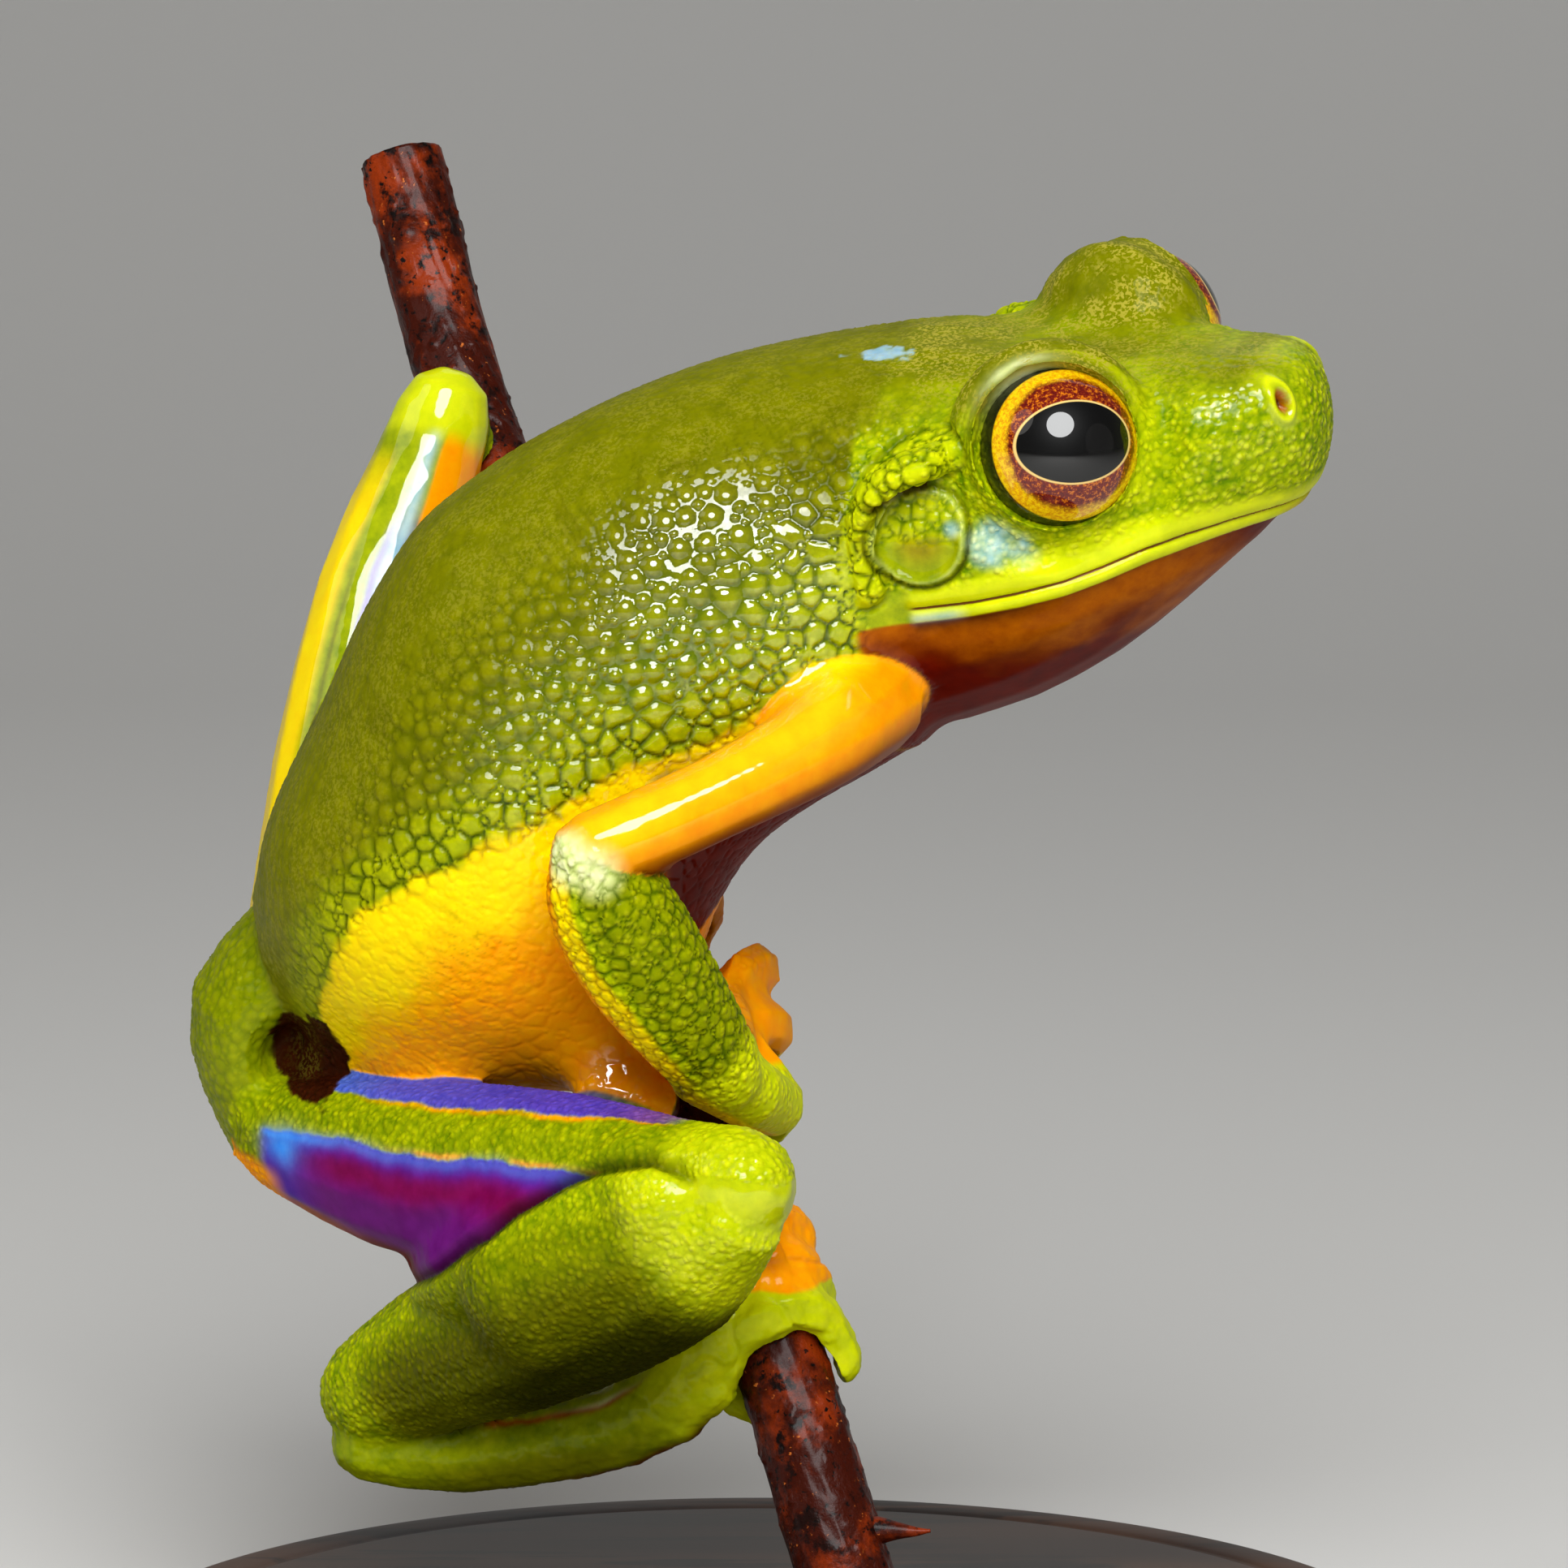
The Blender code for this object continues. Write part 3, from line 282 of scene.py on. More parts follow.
def lattice_value(cells, seed):
    """A fixed value from 0 to 1 for each cell of the lattice."""
    mixed = (cells[:, 0] * 374761393 + cells[:, 1] * 668265263 + cells[:, 2] * 2147483647 + seed * 974634777)
    mixed = (mixed ^ (mixed >> 13)) * 1274126177 & 0x7FFFFFFF
    mixed = (mixed ^ (mixed >> 16)) * 668265263 & 0x7FFFFFFF
    return (mixed & 0xFFFFFF) / float(0xFFFFFF)


def soft_noise(points, size, seed=0):
    """Smooth noise from -1 to 1, whose lumps are about size millimetres wide."""
    scaled = points / size
    base = np.floor(scaled).astype(np.int64)
    share = scaled - base
    share = share * share * (3.0 - 2.0 * share)
    total = np.zeros(len(points))
    for corner in range(8):
        step = np.array((corner & 1, (corner >> 1) & 1, (corner >> 2) & 1))
        weight = np.prod(np.where(step, share, 1.0 - share), axis=1)
        total += weight * lattice_value(base + step, seed)
    return total * 2.0 - 1.0


def rough_noise(points, size, seed=0, layers=3):
    """Layers of smooth noise from -1 to 1, each half as large and half as strong as the last."""
    total = np.zeros(len(points))
    strength = 1.0
    for layer in range(layers):
        total += strength * soft_noise(points, size / 2 ** layer, seed + layer)
        strength *= 0.5
    return total / (2.0 - 2.0 ** (1 - layers))


# Objects and meshes.

def linked_object(name, data):
    made = bpy.data.objects.new(name, data)
    bpy.context.scene.collection.objects.link(made)
    return made


def finished_mesh(name, work):
    """A smooth shaded mesh from bmesh work, which is freed."""
    mesh = bpy.data.meshes.new(name)
    work.to_mesh(mesh)
    work.free()
    mesh.shade_smooth()
    return mesh


def with_modifier(mesh, kind, **settings):
    """A new mesh: the given one with a modifier worked into it."""
    holder = linked_object("holder", mesh)
    modifier = holder.modifiers.new("shaper", kind)
    for name, value in settings.items():
        setattr(modifier, name, value)
    graph = bpy.context.evaluated_depsgraph_get()
    made = bpy.data.meshes.new_from_object(holder.evaluated_get(graph))
    bpy.data.objects.remove(holder, do_unlink=True)
    return made


def placed_piece(name, mesh, matrix=None, replaced=()):
    """A piece of the model: where it stands and the solids that it replaces."""
    made = linked_object(name, mesh)
    if matrix is not None:
        made.matrix_world = matrix
        bpy.context.view_layer.update()
    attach(made, "root")
    if replaced:
        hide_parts(*replaced)
    return made


def turned_mesh(name, profile, segments):
    """A form turned about the z axis from (radius, height) pairs, with closed poles where the radius is 0."""
    work = bmesh.new()
    rings = []
    for radius, height in profile:
        if radius < 1e-6:
            rings.append([work.verts.new((0.0, 0.0, height))])
            continue
        rings.append([work.verts.new((radius * math.cos(turn), radius * math.sin(turn), height))
                      for turn in (2 * math.pi * i / segments for i in range(segments))])
    for low, high in zip(rings, rings[1:]):
        for i in range(segments):
            j = (i + 1) % segments
            if len(low) == 1 and len(high) > 1:
                work.faces.new((low[0], high[i], high[j]))
            elif len(high) == 1 and len(low) > 1:
                work.faces.new((low[j], high[0], low[i]))
            else:
                work.faces.new((low[i], high[i], high[j], low[j]))
    bmesh.ops.recalc_face_normals(work, faces=work.faces)
    return finished_mesh(name, work)


def curved_path(rows, steps):
    """Points on a smooth curve through the rows."""
    rows = [2 * np.asarray(rows[0], float) - rows[1], *[np.asarray(row, float) for row in rows],
            2 * np.asarray(rows[-1], float) - rows[-2]]
    made = []
    for a, b, c, d in zip(rows, rows[1:], rows[2:], rows[3:]):
        for i in range(steps):
            t = i / steps
            made.append(0.5 * (2 * b + (c - a) * t + (2 * a - 5 * b + 4 * c - d) * t ** 2
                               + (3 * b - a - 3 * c + d) * t ** 3))
    made.append(rows[-2])
    return np.array(made)


def tube_points(path, radii, sides):
    """Rings of points round a path, as an array of rings by sides, and their ways outward."""
    run = unit(np.gradient(path, axis=0))
    aside = unit(np.array((1.0, 0.0, 0.0)) - run * run[:, :1])
    above = np.cross(run, aside)
    turns = np.linspace(0, 2 * math.pi, sides, endpoint=False)
    cosines, sines = np.cos(turns)[None, :, None], np.sin(turns)[None, :, None]
    ways = aside[:, None, :] * cosines + above[:, None, :] * sines
    return path[:, None, :] + ways * np.asarray(radii)[:, None, None], ways


def closed_tube(name, rings):
    """A mesh from rings of points, with both ends closed."""
    rows, sides, _ = rings.shape
    points = [tuple(point) for point in rings.reshape(-1, 3)]
    points += [tuple(rings[0].mean(axis=0)), tuple(rings[-1].mean(axis=0))]
    faces = []
    for i in range(rows - 1):
        for j in range(sides):
            k = (j + 1) % sides
            faces.append((i * sides + j, i * sides + k, (i + 1) * sides + k, (i + 1) * sides + j))
    last = (rows - 1) * sides
    for j in range(sides):
        k = (j + 1) % sides
        faces.append((rows * sides, k, j))
        faces.append((rows * sides + 1, last + j, last + k))
    mesh = bpy.data.meshes.new(name)
    mesh.from_pydata(points, [], faces)
    mesh.update()
    mesh.shade_smooth()
    return mesh


# Camera, floor and light.

def build_camera():
    camera = linked_object("camera", bpy.data.cameras.new("camera"))
    camera.data.sensor_width = SENSOR_WIDTH
    camera.data.lens = SENSOR_WIDTH * VIEW_DISTANCE / (IMAGE_SIZE * PIXEL)
    camera.data.clip_start = 0.01
    camera.data.clip_end = 5.0
    back = Vector((0.0, -math.cos(VIEW_HEIGHT), math.sin(VIEW_HEIGHT)))
    camera.location = (VIEW_TARGET + back * VIEW_DISTANCE) * MM
    camera.rotation_mode = "QUATERNION"
    camera.rotation_quaternion = (-back).to_track_quat("-Z", "Y")
    bpy.context.scene.camera = camera


def build_floor():
    """A pale floor that curves up into a pale wall behind the stand."""
    bend = FLOOR_BACK - WALL_CURVE
    profile = [(FLOOR_FRONT, 0.0), (bend, 0.0)]
    for i in range(1, WALL_CURVE_STEPS + 1):
        turn = math.pi / 2 * i / WALL_CURVE_STEPS
        profile.append((bend + WALL_CURVE * math.sin(turn), WALL_CURVE - WALL_CURVE * math.cos(turn)))
    profile.append((FLOOR_BACK, WALL_HEIGHT))
    floor = bmesh.new()
    sides = (-FLOOR_HALF_WIDTH, FLOOR_HALF_WIDTH)
    rows = [[floor.verts.new((x, y, z)) for x in sides] for y, z in profile]
    for low, high in zip(rows, rows[1:]):
        floor.faces.new((low[0], low[1], high[1], high[0]))
    mesh = finished_mesh("studio_floor", floor)
    mesh.materials.append(new_material("studio_paper", {"Base Color": PAPER_COLOUR, "Roughness": 0.95})[0])
    linked_object("studio_floor", mesh)


def area_light(name, azimuth, height, distance, size, power, colour):
    """A round soft light, aimed at the middle of the frog."""
    light = bpy.data.lights.new(name, "AREA")
    light.shape = "DISK"
    light.size = size
    light.energy = power
    light.color = colour
    placed = linked_object(name, light)
    side, up = math.radians(azimuth), math.radians(height)
    out = Vector((math.sin(side) * math.cos(up), -math.cos(side) * math.cos(up), math.sin(up)))
    placed.location = LIGHTS_AIM + out * distance
    placed.rotation_mode = "QUATERNION"
    placed.rotation_quaternion = (-out).to_track_quat("-Z", "Y")


def build_lights():
    for name, settings in LIGHTS.items():
        area_light(name, *settings)
    bpy.context.scene.view_settings.view_transform = "Standard"
    world = bpy.data.worlds.new("studio")
    world.use_nodes = True
    background = world.node_tree.nodes["Background"]
    background.inputs["Color"].default_value = (0.95, 0.95, 0.95, 1.0)
    background.inputs["Strength"].default_value = ROOM_LIGHT
    bpy.context.scene.world = world


# The skin: one closed surface made from the flesh solids.

def swollen_flesh():
    """Every flesh solid in one mesh, in millimetres, swollen so that the thin cuts close."""
    whole = bpy.data.meshes.new("swollen_flesh")
    joined = bmesh.new()
    for name in FLESH:
        solid = bmesh.new()
        solid.from_mesh(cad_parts[name].data)
        bmesh.ops.remove_doubles(solid, verts=solid.verts, dist=2e-6)
        solid.normal_update()
        for vert in solid.verts:
            vert.co = vert.co / MM + vert.normal * SWELL
        grown = bpy.data.meshes.new("grown")
        solid.to_mesh(grown)
        solid.free()
        joined.from_mesh(grown)
        bpy.data.meshes.remove(grown)
    for line in FILLINGS.values():
        rows = between_rows(np.arange(0.0, len(line) - 1 + 1e-6, 0.2), line)
        for *middle, radius in rows.tolist():
            bmesh.ops.create_icosphere(joined, subdivisions=3, radius=radius + SWELL,
                                       matrix=Matrix.Translation(middle))
    joined.to_mesh(whole)
    joined.free()
    return whole


def mesh_arrays(mesh):
    """The mesh's points and edges as arrays."""
    points = np.empty(len(mesh.vertices) * 3)
    mesh.vertices.foreach_get("co", points)
    edges = np.empty(len(mesh.edges) * 2, dtype=np.int64)
    mesh.edges.foreach_get("vertices", edges)
    return points.reshape(-1, 3), edges.reshape(-1, 2)


def mesh_normals(mesh):
    normals = np.empty(len(mesh.vertices) * 3)
    mesh.vertex_normals.foreach_get("vector", normals)
    return normals.reshape(-1, 3)


def put_points(mesh, points):
    mesh.vertices.foreach_set("co", points.reshape(-1))
    mesh.update()


def neighbour_mean(values, edges, counts):
    """The mean of the values at each point's neighbours."""
    total = np.empty_like(values)
    for axis in range(values.shape[1]):
        total[:, axis] = np.bincount(edges[:, 0], values[edges[:, 1], axis], len(values))
        total[:, axis] += np.bincount(edges[:, 1], values[edges[:, 0], axis], len(values))
    return total / counts[:, None]


def relaxed(points, edges, rounds, strength=0.5, amount=None):
    """Points moved towards their neighbours; amount says how much of it each point takes."""
    counts = np.bincount(edges.reshape(-1), minlength=len(points)).astype(float)
    for _ in range(rounds):
        move = (neighbour_mean(points, edges, counts) - points) * strength
        points = points + (move if amount is None else move * amount[:, None])
    return points


def largest_piece(mesh):
    """Removes every loose part of the mesh but the biggest."""
    points, edges = mesh_arrays(mesh)
    label = np.arange(len(points))
    while True:
        before = label.copy()
        low = np.minimum(label[edges[:, 0]], label[edges[:, 1]])
        np.minimum.at(label, edges[:, 0], low)
        np.minimum.at(label, edges[:, 1], low)
        label = label[label]
        if np.array_equal(before, label):
            break
    names, sizes = np.unique(label, return_counts=True)
    keep = names[np.argmax(sizes)]
    if len(names) == 1:
        return
    work = bmesh.new()
    work.from_mesh(mesh)
    work.verts.ensure_lookup_table()
    stray = [work.verts[i] for i in np.nonzero(label != keep)[0]]
    bmesh.ops.delete(work, geom=stray, context="VERTS")
    work.to_mesh(mesh)
    work.free()


def smoothed(points, edges, rounds, push_back):
    """Relaxed and pushed back in turn, which takes out small dents and keeps the size."""
    for _ in range(rounds):
        points = relaxed(points, edges, 1, 0.6)
        points = relaxed(points, edges, 1, -push_back)
    return points


def skin_base():
    """The flesh solids as one closed, smooth surface at its true size."""
    mesh = with_modifier(swollen_flesh(), "REMESH", mode="VOXEL", voxel_size=VOXEL)
    largest_piece(mesh)
    points, edges = mesh_arrays(mesh)
    points = smoothed(points, edges, 5, 0.55)
    put_points(mesh, points)
    points = points - mesh_normals(mesh) * SWELL
    points = smoothed(points, edges, 6, 0.58)
    trunk_rounds = round(TRUNK_SMOOTHING / VOXEL ** 2)
    points = relaxed(points, edges, trunk_rounds, 0.6, smooth_step(0.8, 0.99, Body(points).torso))
    put_points(mesh, points)
    return with_modifier(mesh, "SUBSURF", levels=1, render_levels=1)


# Places on the body: how far along, how far out and which way round.

def along_line(points, line):
    """Place along a line of points, distance to it and the nearest spot on it."""
    line = np.asarray(line, dtype=float)
    gap = np.full(len(points), 1e9)
    place = np.zeros(len(points))
    spot = np.zeros_like(points)
    for i in range(len(line) - 1):
        start, run = line[i], line[i + 1] - line[i]
        share = np.clip((points - start) @ run / (run @ run), 0.0, 1.0)
        near = start + share[:, None] * run
        distance = np.linalg.norm(points - near, axis=1)
        closer = distance < gap
        gap[closer] = distance[closer]
        place[closer] = i + share[closer]
        spot[closer] = near[closer]
    return place, gap, spot


def between_rows(place, rows):
    """Rows read off at places between them, by straight lines."""
    rows = np.asarray(rows, dtype=float)
    steps = np.arange(len(rows))
    if rows.ndim == 1:
        return np.interp(place, steps, rows)
    return np.stack([np.interp(place, steps, rows[:, k]) for k in range(rows.shape[1])], axis=1)


def trunk_place(points):
    """Place along the trunk, turn from the side (0) to the back (90), and share of its radius."""
    place, _, spot = along_line(points, [row[0] for row in TRUNK_LINE])
    forward = unit(between_rows(place, [row[1] for row in TRUNK_LINE]))
    left = unit(TRUNK_LEFT - forward * (forward @ TRUNK_LEFT)[:, None])
    up = np.cross(forward, left)
    out = points - spot
    side = np.einsum("ij,ij->i", out, left)
    height = np.einsum("ij,ij->i", out, up)
    ahead = np.einsum("ij,ij->i", out, forward)
    turn = np.degrees(np.arctan2(height, np.abs(side)))
    wide = between_rows(place, [row[2] for row in TRUNK_LINE])
    tall = np.where(height > 0, between_rows(place, [row[3] for row in TRUNK_LINE]),
                    between_rows(place, [row[4] for row in TRUNK_LINE]))
    end_depth = 3.0
    share = np.sqrt((side / wide) ** 2 + (height / tall) ** 2 + (ahead / end_depth) ** 2)
    return place, turn, side, share


def head_share(places):
    """Share of the head's radius at places in head axes."""
    forward, side, up = places.T
    rows = np.asarray(HEAD_SHAPE)[::-1]
    middle, wide, top, low = (np.interp(forward, rows[:, 0], rows[:, k]) for k in (1, 2, 3, 4))
    height = up - middle
    tall = np.where(height > 0, top, low)
    share = np.sqrt((side / wide) ** 2 + (height / tall) ** 2)
    nape, snout = -6.3, 7.4
    beyond = np.clip(nape - forward, 0, None) + np.clip(forward - snout, 0, None)
    return share + beyond * 0.5


def limb_place(points, name):
    """Place along a limb, share of its radius and turn: 0 faces the photo's viewer, 90 is up or right."""
    line = np.asarray(LIMB_LINES[name], dtype=float)
    place, gap, spot = along_line(points, line[:, :3])
    share = gap / between_rows(place, line[:, 3])
    run = unit(np.gradient(line[:, :3], axis=0))
    axis = unit(between_rows(place, run))
    viewer = np.array((0.0, -1.0, 0.0))
    front = unit(viewer - axis * (axis @ viewer)[:, None])
    aside = np.cross(axis, front)
    wanted = np.array(UPRIGHT_LIMBS.get(name, (0.0, 0.0, 1.0)))
    aside *= np.sign(aside @ wanted)[:, None]
    out = points - spot
    turn = np.degrees(np.arctan2(np.einsum("ij,ij->i", out, aside), np.einsum("ij,ij->i", out, front)))
    return place, share, turn


def mouth_height(forward):
    """Height of the mouth line in head axes."""
    return np.interp(forward, MOUTH_PLACES, MOUTH_HEIGHTS)


def bell(values, middle, width):
    """A smooth bump of height 1 round a middle value."""
    return np.exp(-((values - middle) / width) ** 2)


class Body:
    """Everything that the markings and the granules ask about each point of the skin."""

    def __init__(self, points):
        self.points = points
        self.head = in_head(points)
        self.forward, self.side, self.up = self.head.T
        self.mirrored = np.stack((self.forward, np.abs(self.side), self.up), axis=1)
        self.ripple = rough_noise(points, 1.6, 3)
        self.grain = rough_noise(points, 0.5, 7)
        self.twig_gap = along_line(points, TWIG_PATH)[1]
        self.share_out()
        self.lip = self.up - mouth_height(self.forward)
        self.mouth = self.skull * smooth_step(-4.7, -4.35, self.forward)
        self.find_ear_and_folds()
        self.find_nostrils()
        self.find_lids()
        self.find_knee()
        self.find_groin_shade()

    def share_out(self):
        """How far each point belongs to the head, the trunk and each limb; the shares add up to 1."""
        self.trunk, self.turn, self.trunk_side, trunk_share = trunk_place(self.points)
        shares = {"head": head_share(self.head), "trunk": trunk_share}
        self.limbs = {}
        for name in LIMB_LINES:
            place, share, turn = limb_place(self.points, name)
            self.limbs[name] = (place, turn)
            shares[name] = share
        lowest = np.minimum.reduce(list(shares.values()))
        weights = {name: np.exp(-(share - lowest) / BORDER_SOFTNESS) for name, share in shares.items()}
        total = sum(weights.values())
        self.weight = {name: value / total for name, value in weights.items()}
        behind_head = smooth_step(-5.4, -6.4, self.forward)
        both = self.weight["trunk"] + self.weight["head"]
        self.torso, self.skull = both * behind_head, both * (1.0 - behind_head)

    def find_ear_and_folds(self):
        """Share of the eardrum's radius, and distances to the fold over it and the slit behind the eye."""
        aside = self.mirrored[:, 1]
        ear = np.hypot(self.forward - EAR_CENTRE[0], self.up - EAR_CENTRE[2]) / EAR_RADIUS
        self.ear = np.where(aside > HEAD_SIDE, ear, FAR)
        flat = np.array((1.0, 0.0, 1.0))
        inward = FAR * (aside < HEAD_SIDE)
        self.fold = along_line(self.mirrored * flat, FOLD_LINE * flat)[1] + inward
        self.slit = along_line(self.mirrored * flat, SLIT_LINE * flat)[1] + inward

    def find_nostrils(self):
        """Share of the nostril's radius: an oval that faces outward from the snout."""
        ahead, across = self.forward - NOSTRIL[0], self.mirrored[:, 1] - NOSTRIL[1]
        out = ahead * NOSTRIL_OUT[0] + across * NOSTRIL_OUT[1]
        along = ahead * NOSTRIL_OUT[1] - across * NOSTRIL_OUT[0]
        oval = np.hypot(along / NOSTRIL_HALF_SIZE[0], (self.up - NOSTRIL[2]) / NOSTRIL_HALF_SIZE[1])
        self.nostril = np.where(np.abs(out) < 1.0, oval, FAR)

    def find_lids(self):
        """Distance from the eye's middle, angle from its axis and turn about that axis."""
        out = self.mirrored - EYE_CENTRE
        look = unit(EYE_LOOK)
        fore = unit(np.array((1.0, 0.0, 0.0)) - look * look[0])
        self.lid_gap = np.linalg.norm(out, axis=1)
        self.lid = np.degrees(np.arccos(np.clip(out @ look / self.lid_gap, -1.0, 1.0)))
        self.lid_turn = np.degrees(np.arctan2(out @ np.cross(fore, look), out @ fore))

    def find_knee(self):
        """Place along the knee's crease and distance to it, looked at from the front."""
        flat = np.array((1.0, 0.03, 1.0))
        self.knee_line, self.knee_gap, spot = along_line(self.points * flat, KNEE_CREASE * flat)
        self.knee_gap += 3.0 * smooth_step(3.2, 4.4, np.abs(spot[:, 1] / flat[1] - self.points[:, 1]))
        self.part_at_knee((spot - self.points * flat) @ unit((0.35, 0.0, 1.0)))

    def part_at_knee(self, below):
        """Thigh above the knee's crease and calf below it, near that crease."""
        under = smooth_step(-0.06, 0.06, below)
        near_crease = smooth_step(2.6, 2.2, self.knee_gap) * smooth_step(9.0, 8.5, self.knee_line)
        to_calf = under * near_crease
        to_thigh = (1.0 - under) * near_crease
        thigh, calf = self.weight["thigh_right"], self.weight["shank_right"]
        self.weight["shank_right"] = calf * (1.0 - to_thigh) + thigh * to_calf
        self.weight["thigh_right"] = thigh * (1.0 - to_calf) + calf * to_thigh

    def find_groin_shade(self):
        """Painted shade in the groin's hollow: a dark patch of two ragged rounds."""
        across, up = self.points[:, 0] - GROIN_SHADE[0], self.points[:, 2] - GROIN_SHADE[1]
        ragged = 0.35 * self.ripple + 0.25 * self.grain
        groin = smooth_step(1.3, 1.15, np.hypot(across + 0.15 * up, up / 1.1) + ragged)
        groin = np.maximum(groin, smooth_step(0.95, 0.85, np.hypot(across - 0.5, up + 0.15) + ragged))
        self.groin = groin * (self.points[:, 1] < 5.0)

    def cover(self, name):
        """1 where a limb owns the skin, with a short fade at its borders."""
        return smooth_step(0.36, 0.6, self.weight[name])

    def near(self, place, radius, soft=0.5):
        """1 within a radius of a place in head axes, fading over its outer part."""
        gap = np.linalg.norm(self.head - np.asarray(place), axis=1)
        return 1.0 - smooth_step(radius * (1 - soft), radius, gap)

    def spot(self, place, radius, soft=0.5):
        """1 within a radius of a place in the model's axes, fading over its outer part."""
        gap = np.linalg.norm(self.points - np.asarray(place), axis=1)
        return 1.0 - smooth_step(radius * (1 - soft), radius, gap)


def blend_over(values, mask, target):
    """Values drawn towards a target where the mask is 1."""
    return values + (target - values) * np.clip(mask, 0.0, 1.0)


# Markings. Places count the rows of a trunk or limb line, turns are in degrees and the rest in millimetres.

def markings(body):
    """The masks that the skin's material mixes, each from 0 to 1."""
    made = {name: np.zeros(len(body.points)) for name in MASKS}

    def paint(name, mask):
        mask = np.clip(mask, 0.0, 1.0)
        for other in MASKS:
            if other != name:
                made[other] *= 1.0 - mask
        if name != "green":
            made[name] += (1.0 - made[name]) * mask

    paint_trunk(body, paint)
    paint_head(body, paint)
    paint_arms(body, paint)
    paint_hands(body, paint)
    paint_thigh(body, paint)
    paint_calf(body, paint)
    paint_foot(body, paint)
    paint_far_leg(body, paint)
    paint_kneecap(body, paint)
    # Painted shade: dark brown in the groin's hollow
    paint("brown", body.groin)
    return made


def laid_over(shares):
    """Turns each colour's share into how much of its layer lies over the layers before it."""
    under = 1.0 - sum(shares.values())
    masks = {}
    for name in MASKS:
        under = under + shares[name]
        masks[name] = shares[name] / np.maximum(under, 1e-6)
    return masks


def paint_trunk(body, paint):
    """Green back and neck, yellow and orange flank, with dark red painted shade under the chest and belly."""
    torso = smooth_step(0.0, 0.3, body.torso)
    edge = np.interp(body.trunk, BELLY_EDGE_PLACES, BELLY_EDGE_TURNS)
    depth = edge + 6.0 * body.ripple + 3.0 * body.grain - body.turn
    paint("olive", torso * smooth_step(14, 50, body.turn + 8 * body.ripple))
    neck = smooth_step(1.3, 0.3, body.trunk) * smooth_step(34, 12, body.turn)
    paint("lime", torso * np.maximum(neck, 0.5 * smooth_step(-24, -8, depth)))
    paint("yellow", torso * smooth_step(-2, 2, depth))
    paint("orange", torso * smooth_step(10, 40, depth + 6 * body.ripple) * 0.95)
    # Painted shade: dark red under the chest, and between the arm, the forearm and the hands
    chest = smooth_step(-30, -42, body.turn) * smooth_step(3.3, 2.6, body.trunk)
    paint("red", torso * chest)
    shade_between_arms = smooth_step(-3.6, -2.6, body.points[:, 0]) * smooth_step(31.6, 30.4, body.points[:, 2])
    shade_between_arms *= smooth_step(24.0, 25.0, body.points[:, 2])
    paint("red", torso * shade_between_arms)


def paint_head(body, paint):
    """Green face with a lemon lip, eardrum, folds, lids and nostrils, and a rust throat; painted shade
    darkens the throat, the jaw and the nostril pits, and a painted highlight lies on the upper lid.
    """
    head, lip, mouth = smooth_step(0.0, 0.3, body.skull), body.lip, body.mouth
    wave = 0.16 * body.ripple
    paint("lime", head * smooth_step(2.2, 0.4, body.up + 1.2 * body.ripple))
    paint("olive", head * smooth_step(0.6, 2.4, body.up + 0.8 * body.ripple) * 0.85)
    band = np.interp(body.forward, (-4.0, -1.5, 1.0, 4.0, 6.4), (0.45, 0.85, 1.2, 0.8, 0.5))
    paint("lemon", mouth * smooth_step(band + 0.3, band - 0.1, lip + 1.2 * wave))
    paint("lime", head * bell(body.fold, 0.0, 0.5) * 0.8)
    paint("lemon", head * bell(body.fold, 0.0, 0.36) * 0.5)
    paint("olive", head * (body.ear < 1.25) * bell(body.ear, 1.13, 0.08) * 0.6)
    inside = head * smooth_step(1.0, 0.9, body.ear)
    paint("olive", inside * 0.35)
    paint("lime", inside * 0.7 * smooth_step(-2.6, -1.6, body.up + 0.5 * body.grain))
    paint("cream", head * bell(body.ear, 1.0, 0.035) * 0.22)
    paint("rust", head * smooth_step(0.8, 0.2, body.ear) * smooth_step(-1.8, -2.6, body.up) * 0.35)
    paint("brown", head * bell(body.slit, 0.0, 0.18))
    for side in (1, -1):
        paint("pale", head * body.near((-2.95, side * 6.2, -1.85), 0.42, 0.8) * 0.6)
        paint("pale", head * body.near((-1.75, side * 6.1, -2.4), 1.0, 0.7) * (0.7 + 0.9 * body.grain))
        paint("pale", head * body.near((-0.9, side * 5.9, -2.75), 0.8, 0.8) * (0.35 + 0.9 * body.grain))
    rim = bell(body.lid, 80, 5) * (body.lid_gap < 3.0) * head
    paint("lemon", rim * 0.35)
    # Painted highlight: a cream crescent on the upper lid
    paint("cream", bell(body.lid, 71, 5) * bell(body.lid_turn, 122, 22) * (body.lid_gap < 3.4) * 0.9)
    streak = np.hypot((body.forward + 6.3) / 0.85, (body.side + 1.3) / 0.3) + 1.7 * body.grain
    paint("pale", smooth_step(1.1, 0.7, streak) * smooth_step(1.0, 1.5, body.up) * 0.7)
    paint("blue", smooth_step(0.9, 0.5, streak) * smooth_step(1.0, 1.5, body.up) * 0.2)
    under = smooth_step(-0.4, -0.5, lip + 0.5 * wave)
    paint("rust", head * under)
    # Painted shade: dark red low on the throat and under the front of the jaw
    paint("red", head * smooth_step(-1.5, -3.2, lip + 1.2 * body.ripple + 0.18 * body.forward))
    paint("red", head * under * smooth_step(3.4, 5.4, body.forward))
    shade = mouth * under * bell(lip, -0.55, 0.3) * smooth_step(0.5, -2.0, body.forward)
    paint("brown", shade * 0.7)
    paint("pale", mouth * bell(lip, -0.32, 0.16) * smooth_step(-2.6, -3.4, body.forward) * 0.6)
    paint("rust", mouth * smooth_step(0.0, -0.2, lip) * smooth_step(5.6, 6.6, body.forward) * 0.6)
    paint("lime", head * smooth_step(2.2, 1.7, body.nostril))
    paint("lemon", head * bell(body.nostril, 1.35, 0.3))
    # Painted shade: rust and brown in the nostril's pit
    paint("rust", head * smooth_step(1.05, 0.85, body.nostril))
    paint("brown", head * smooth_step(0.8, 0.5, body.nostril))


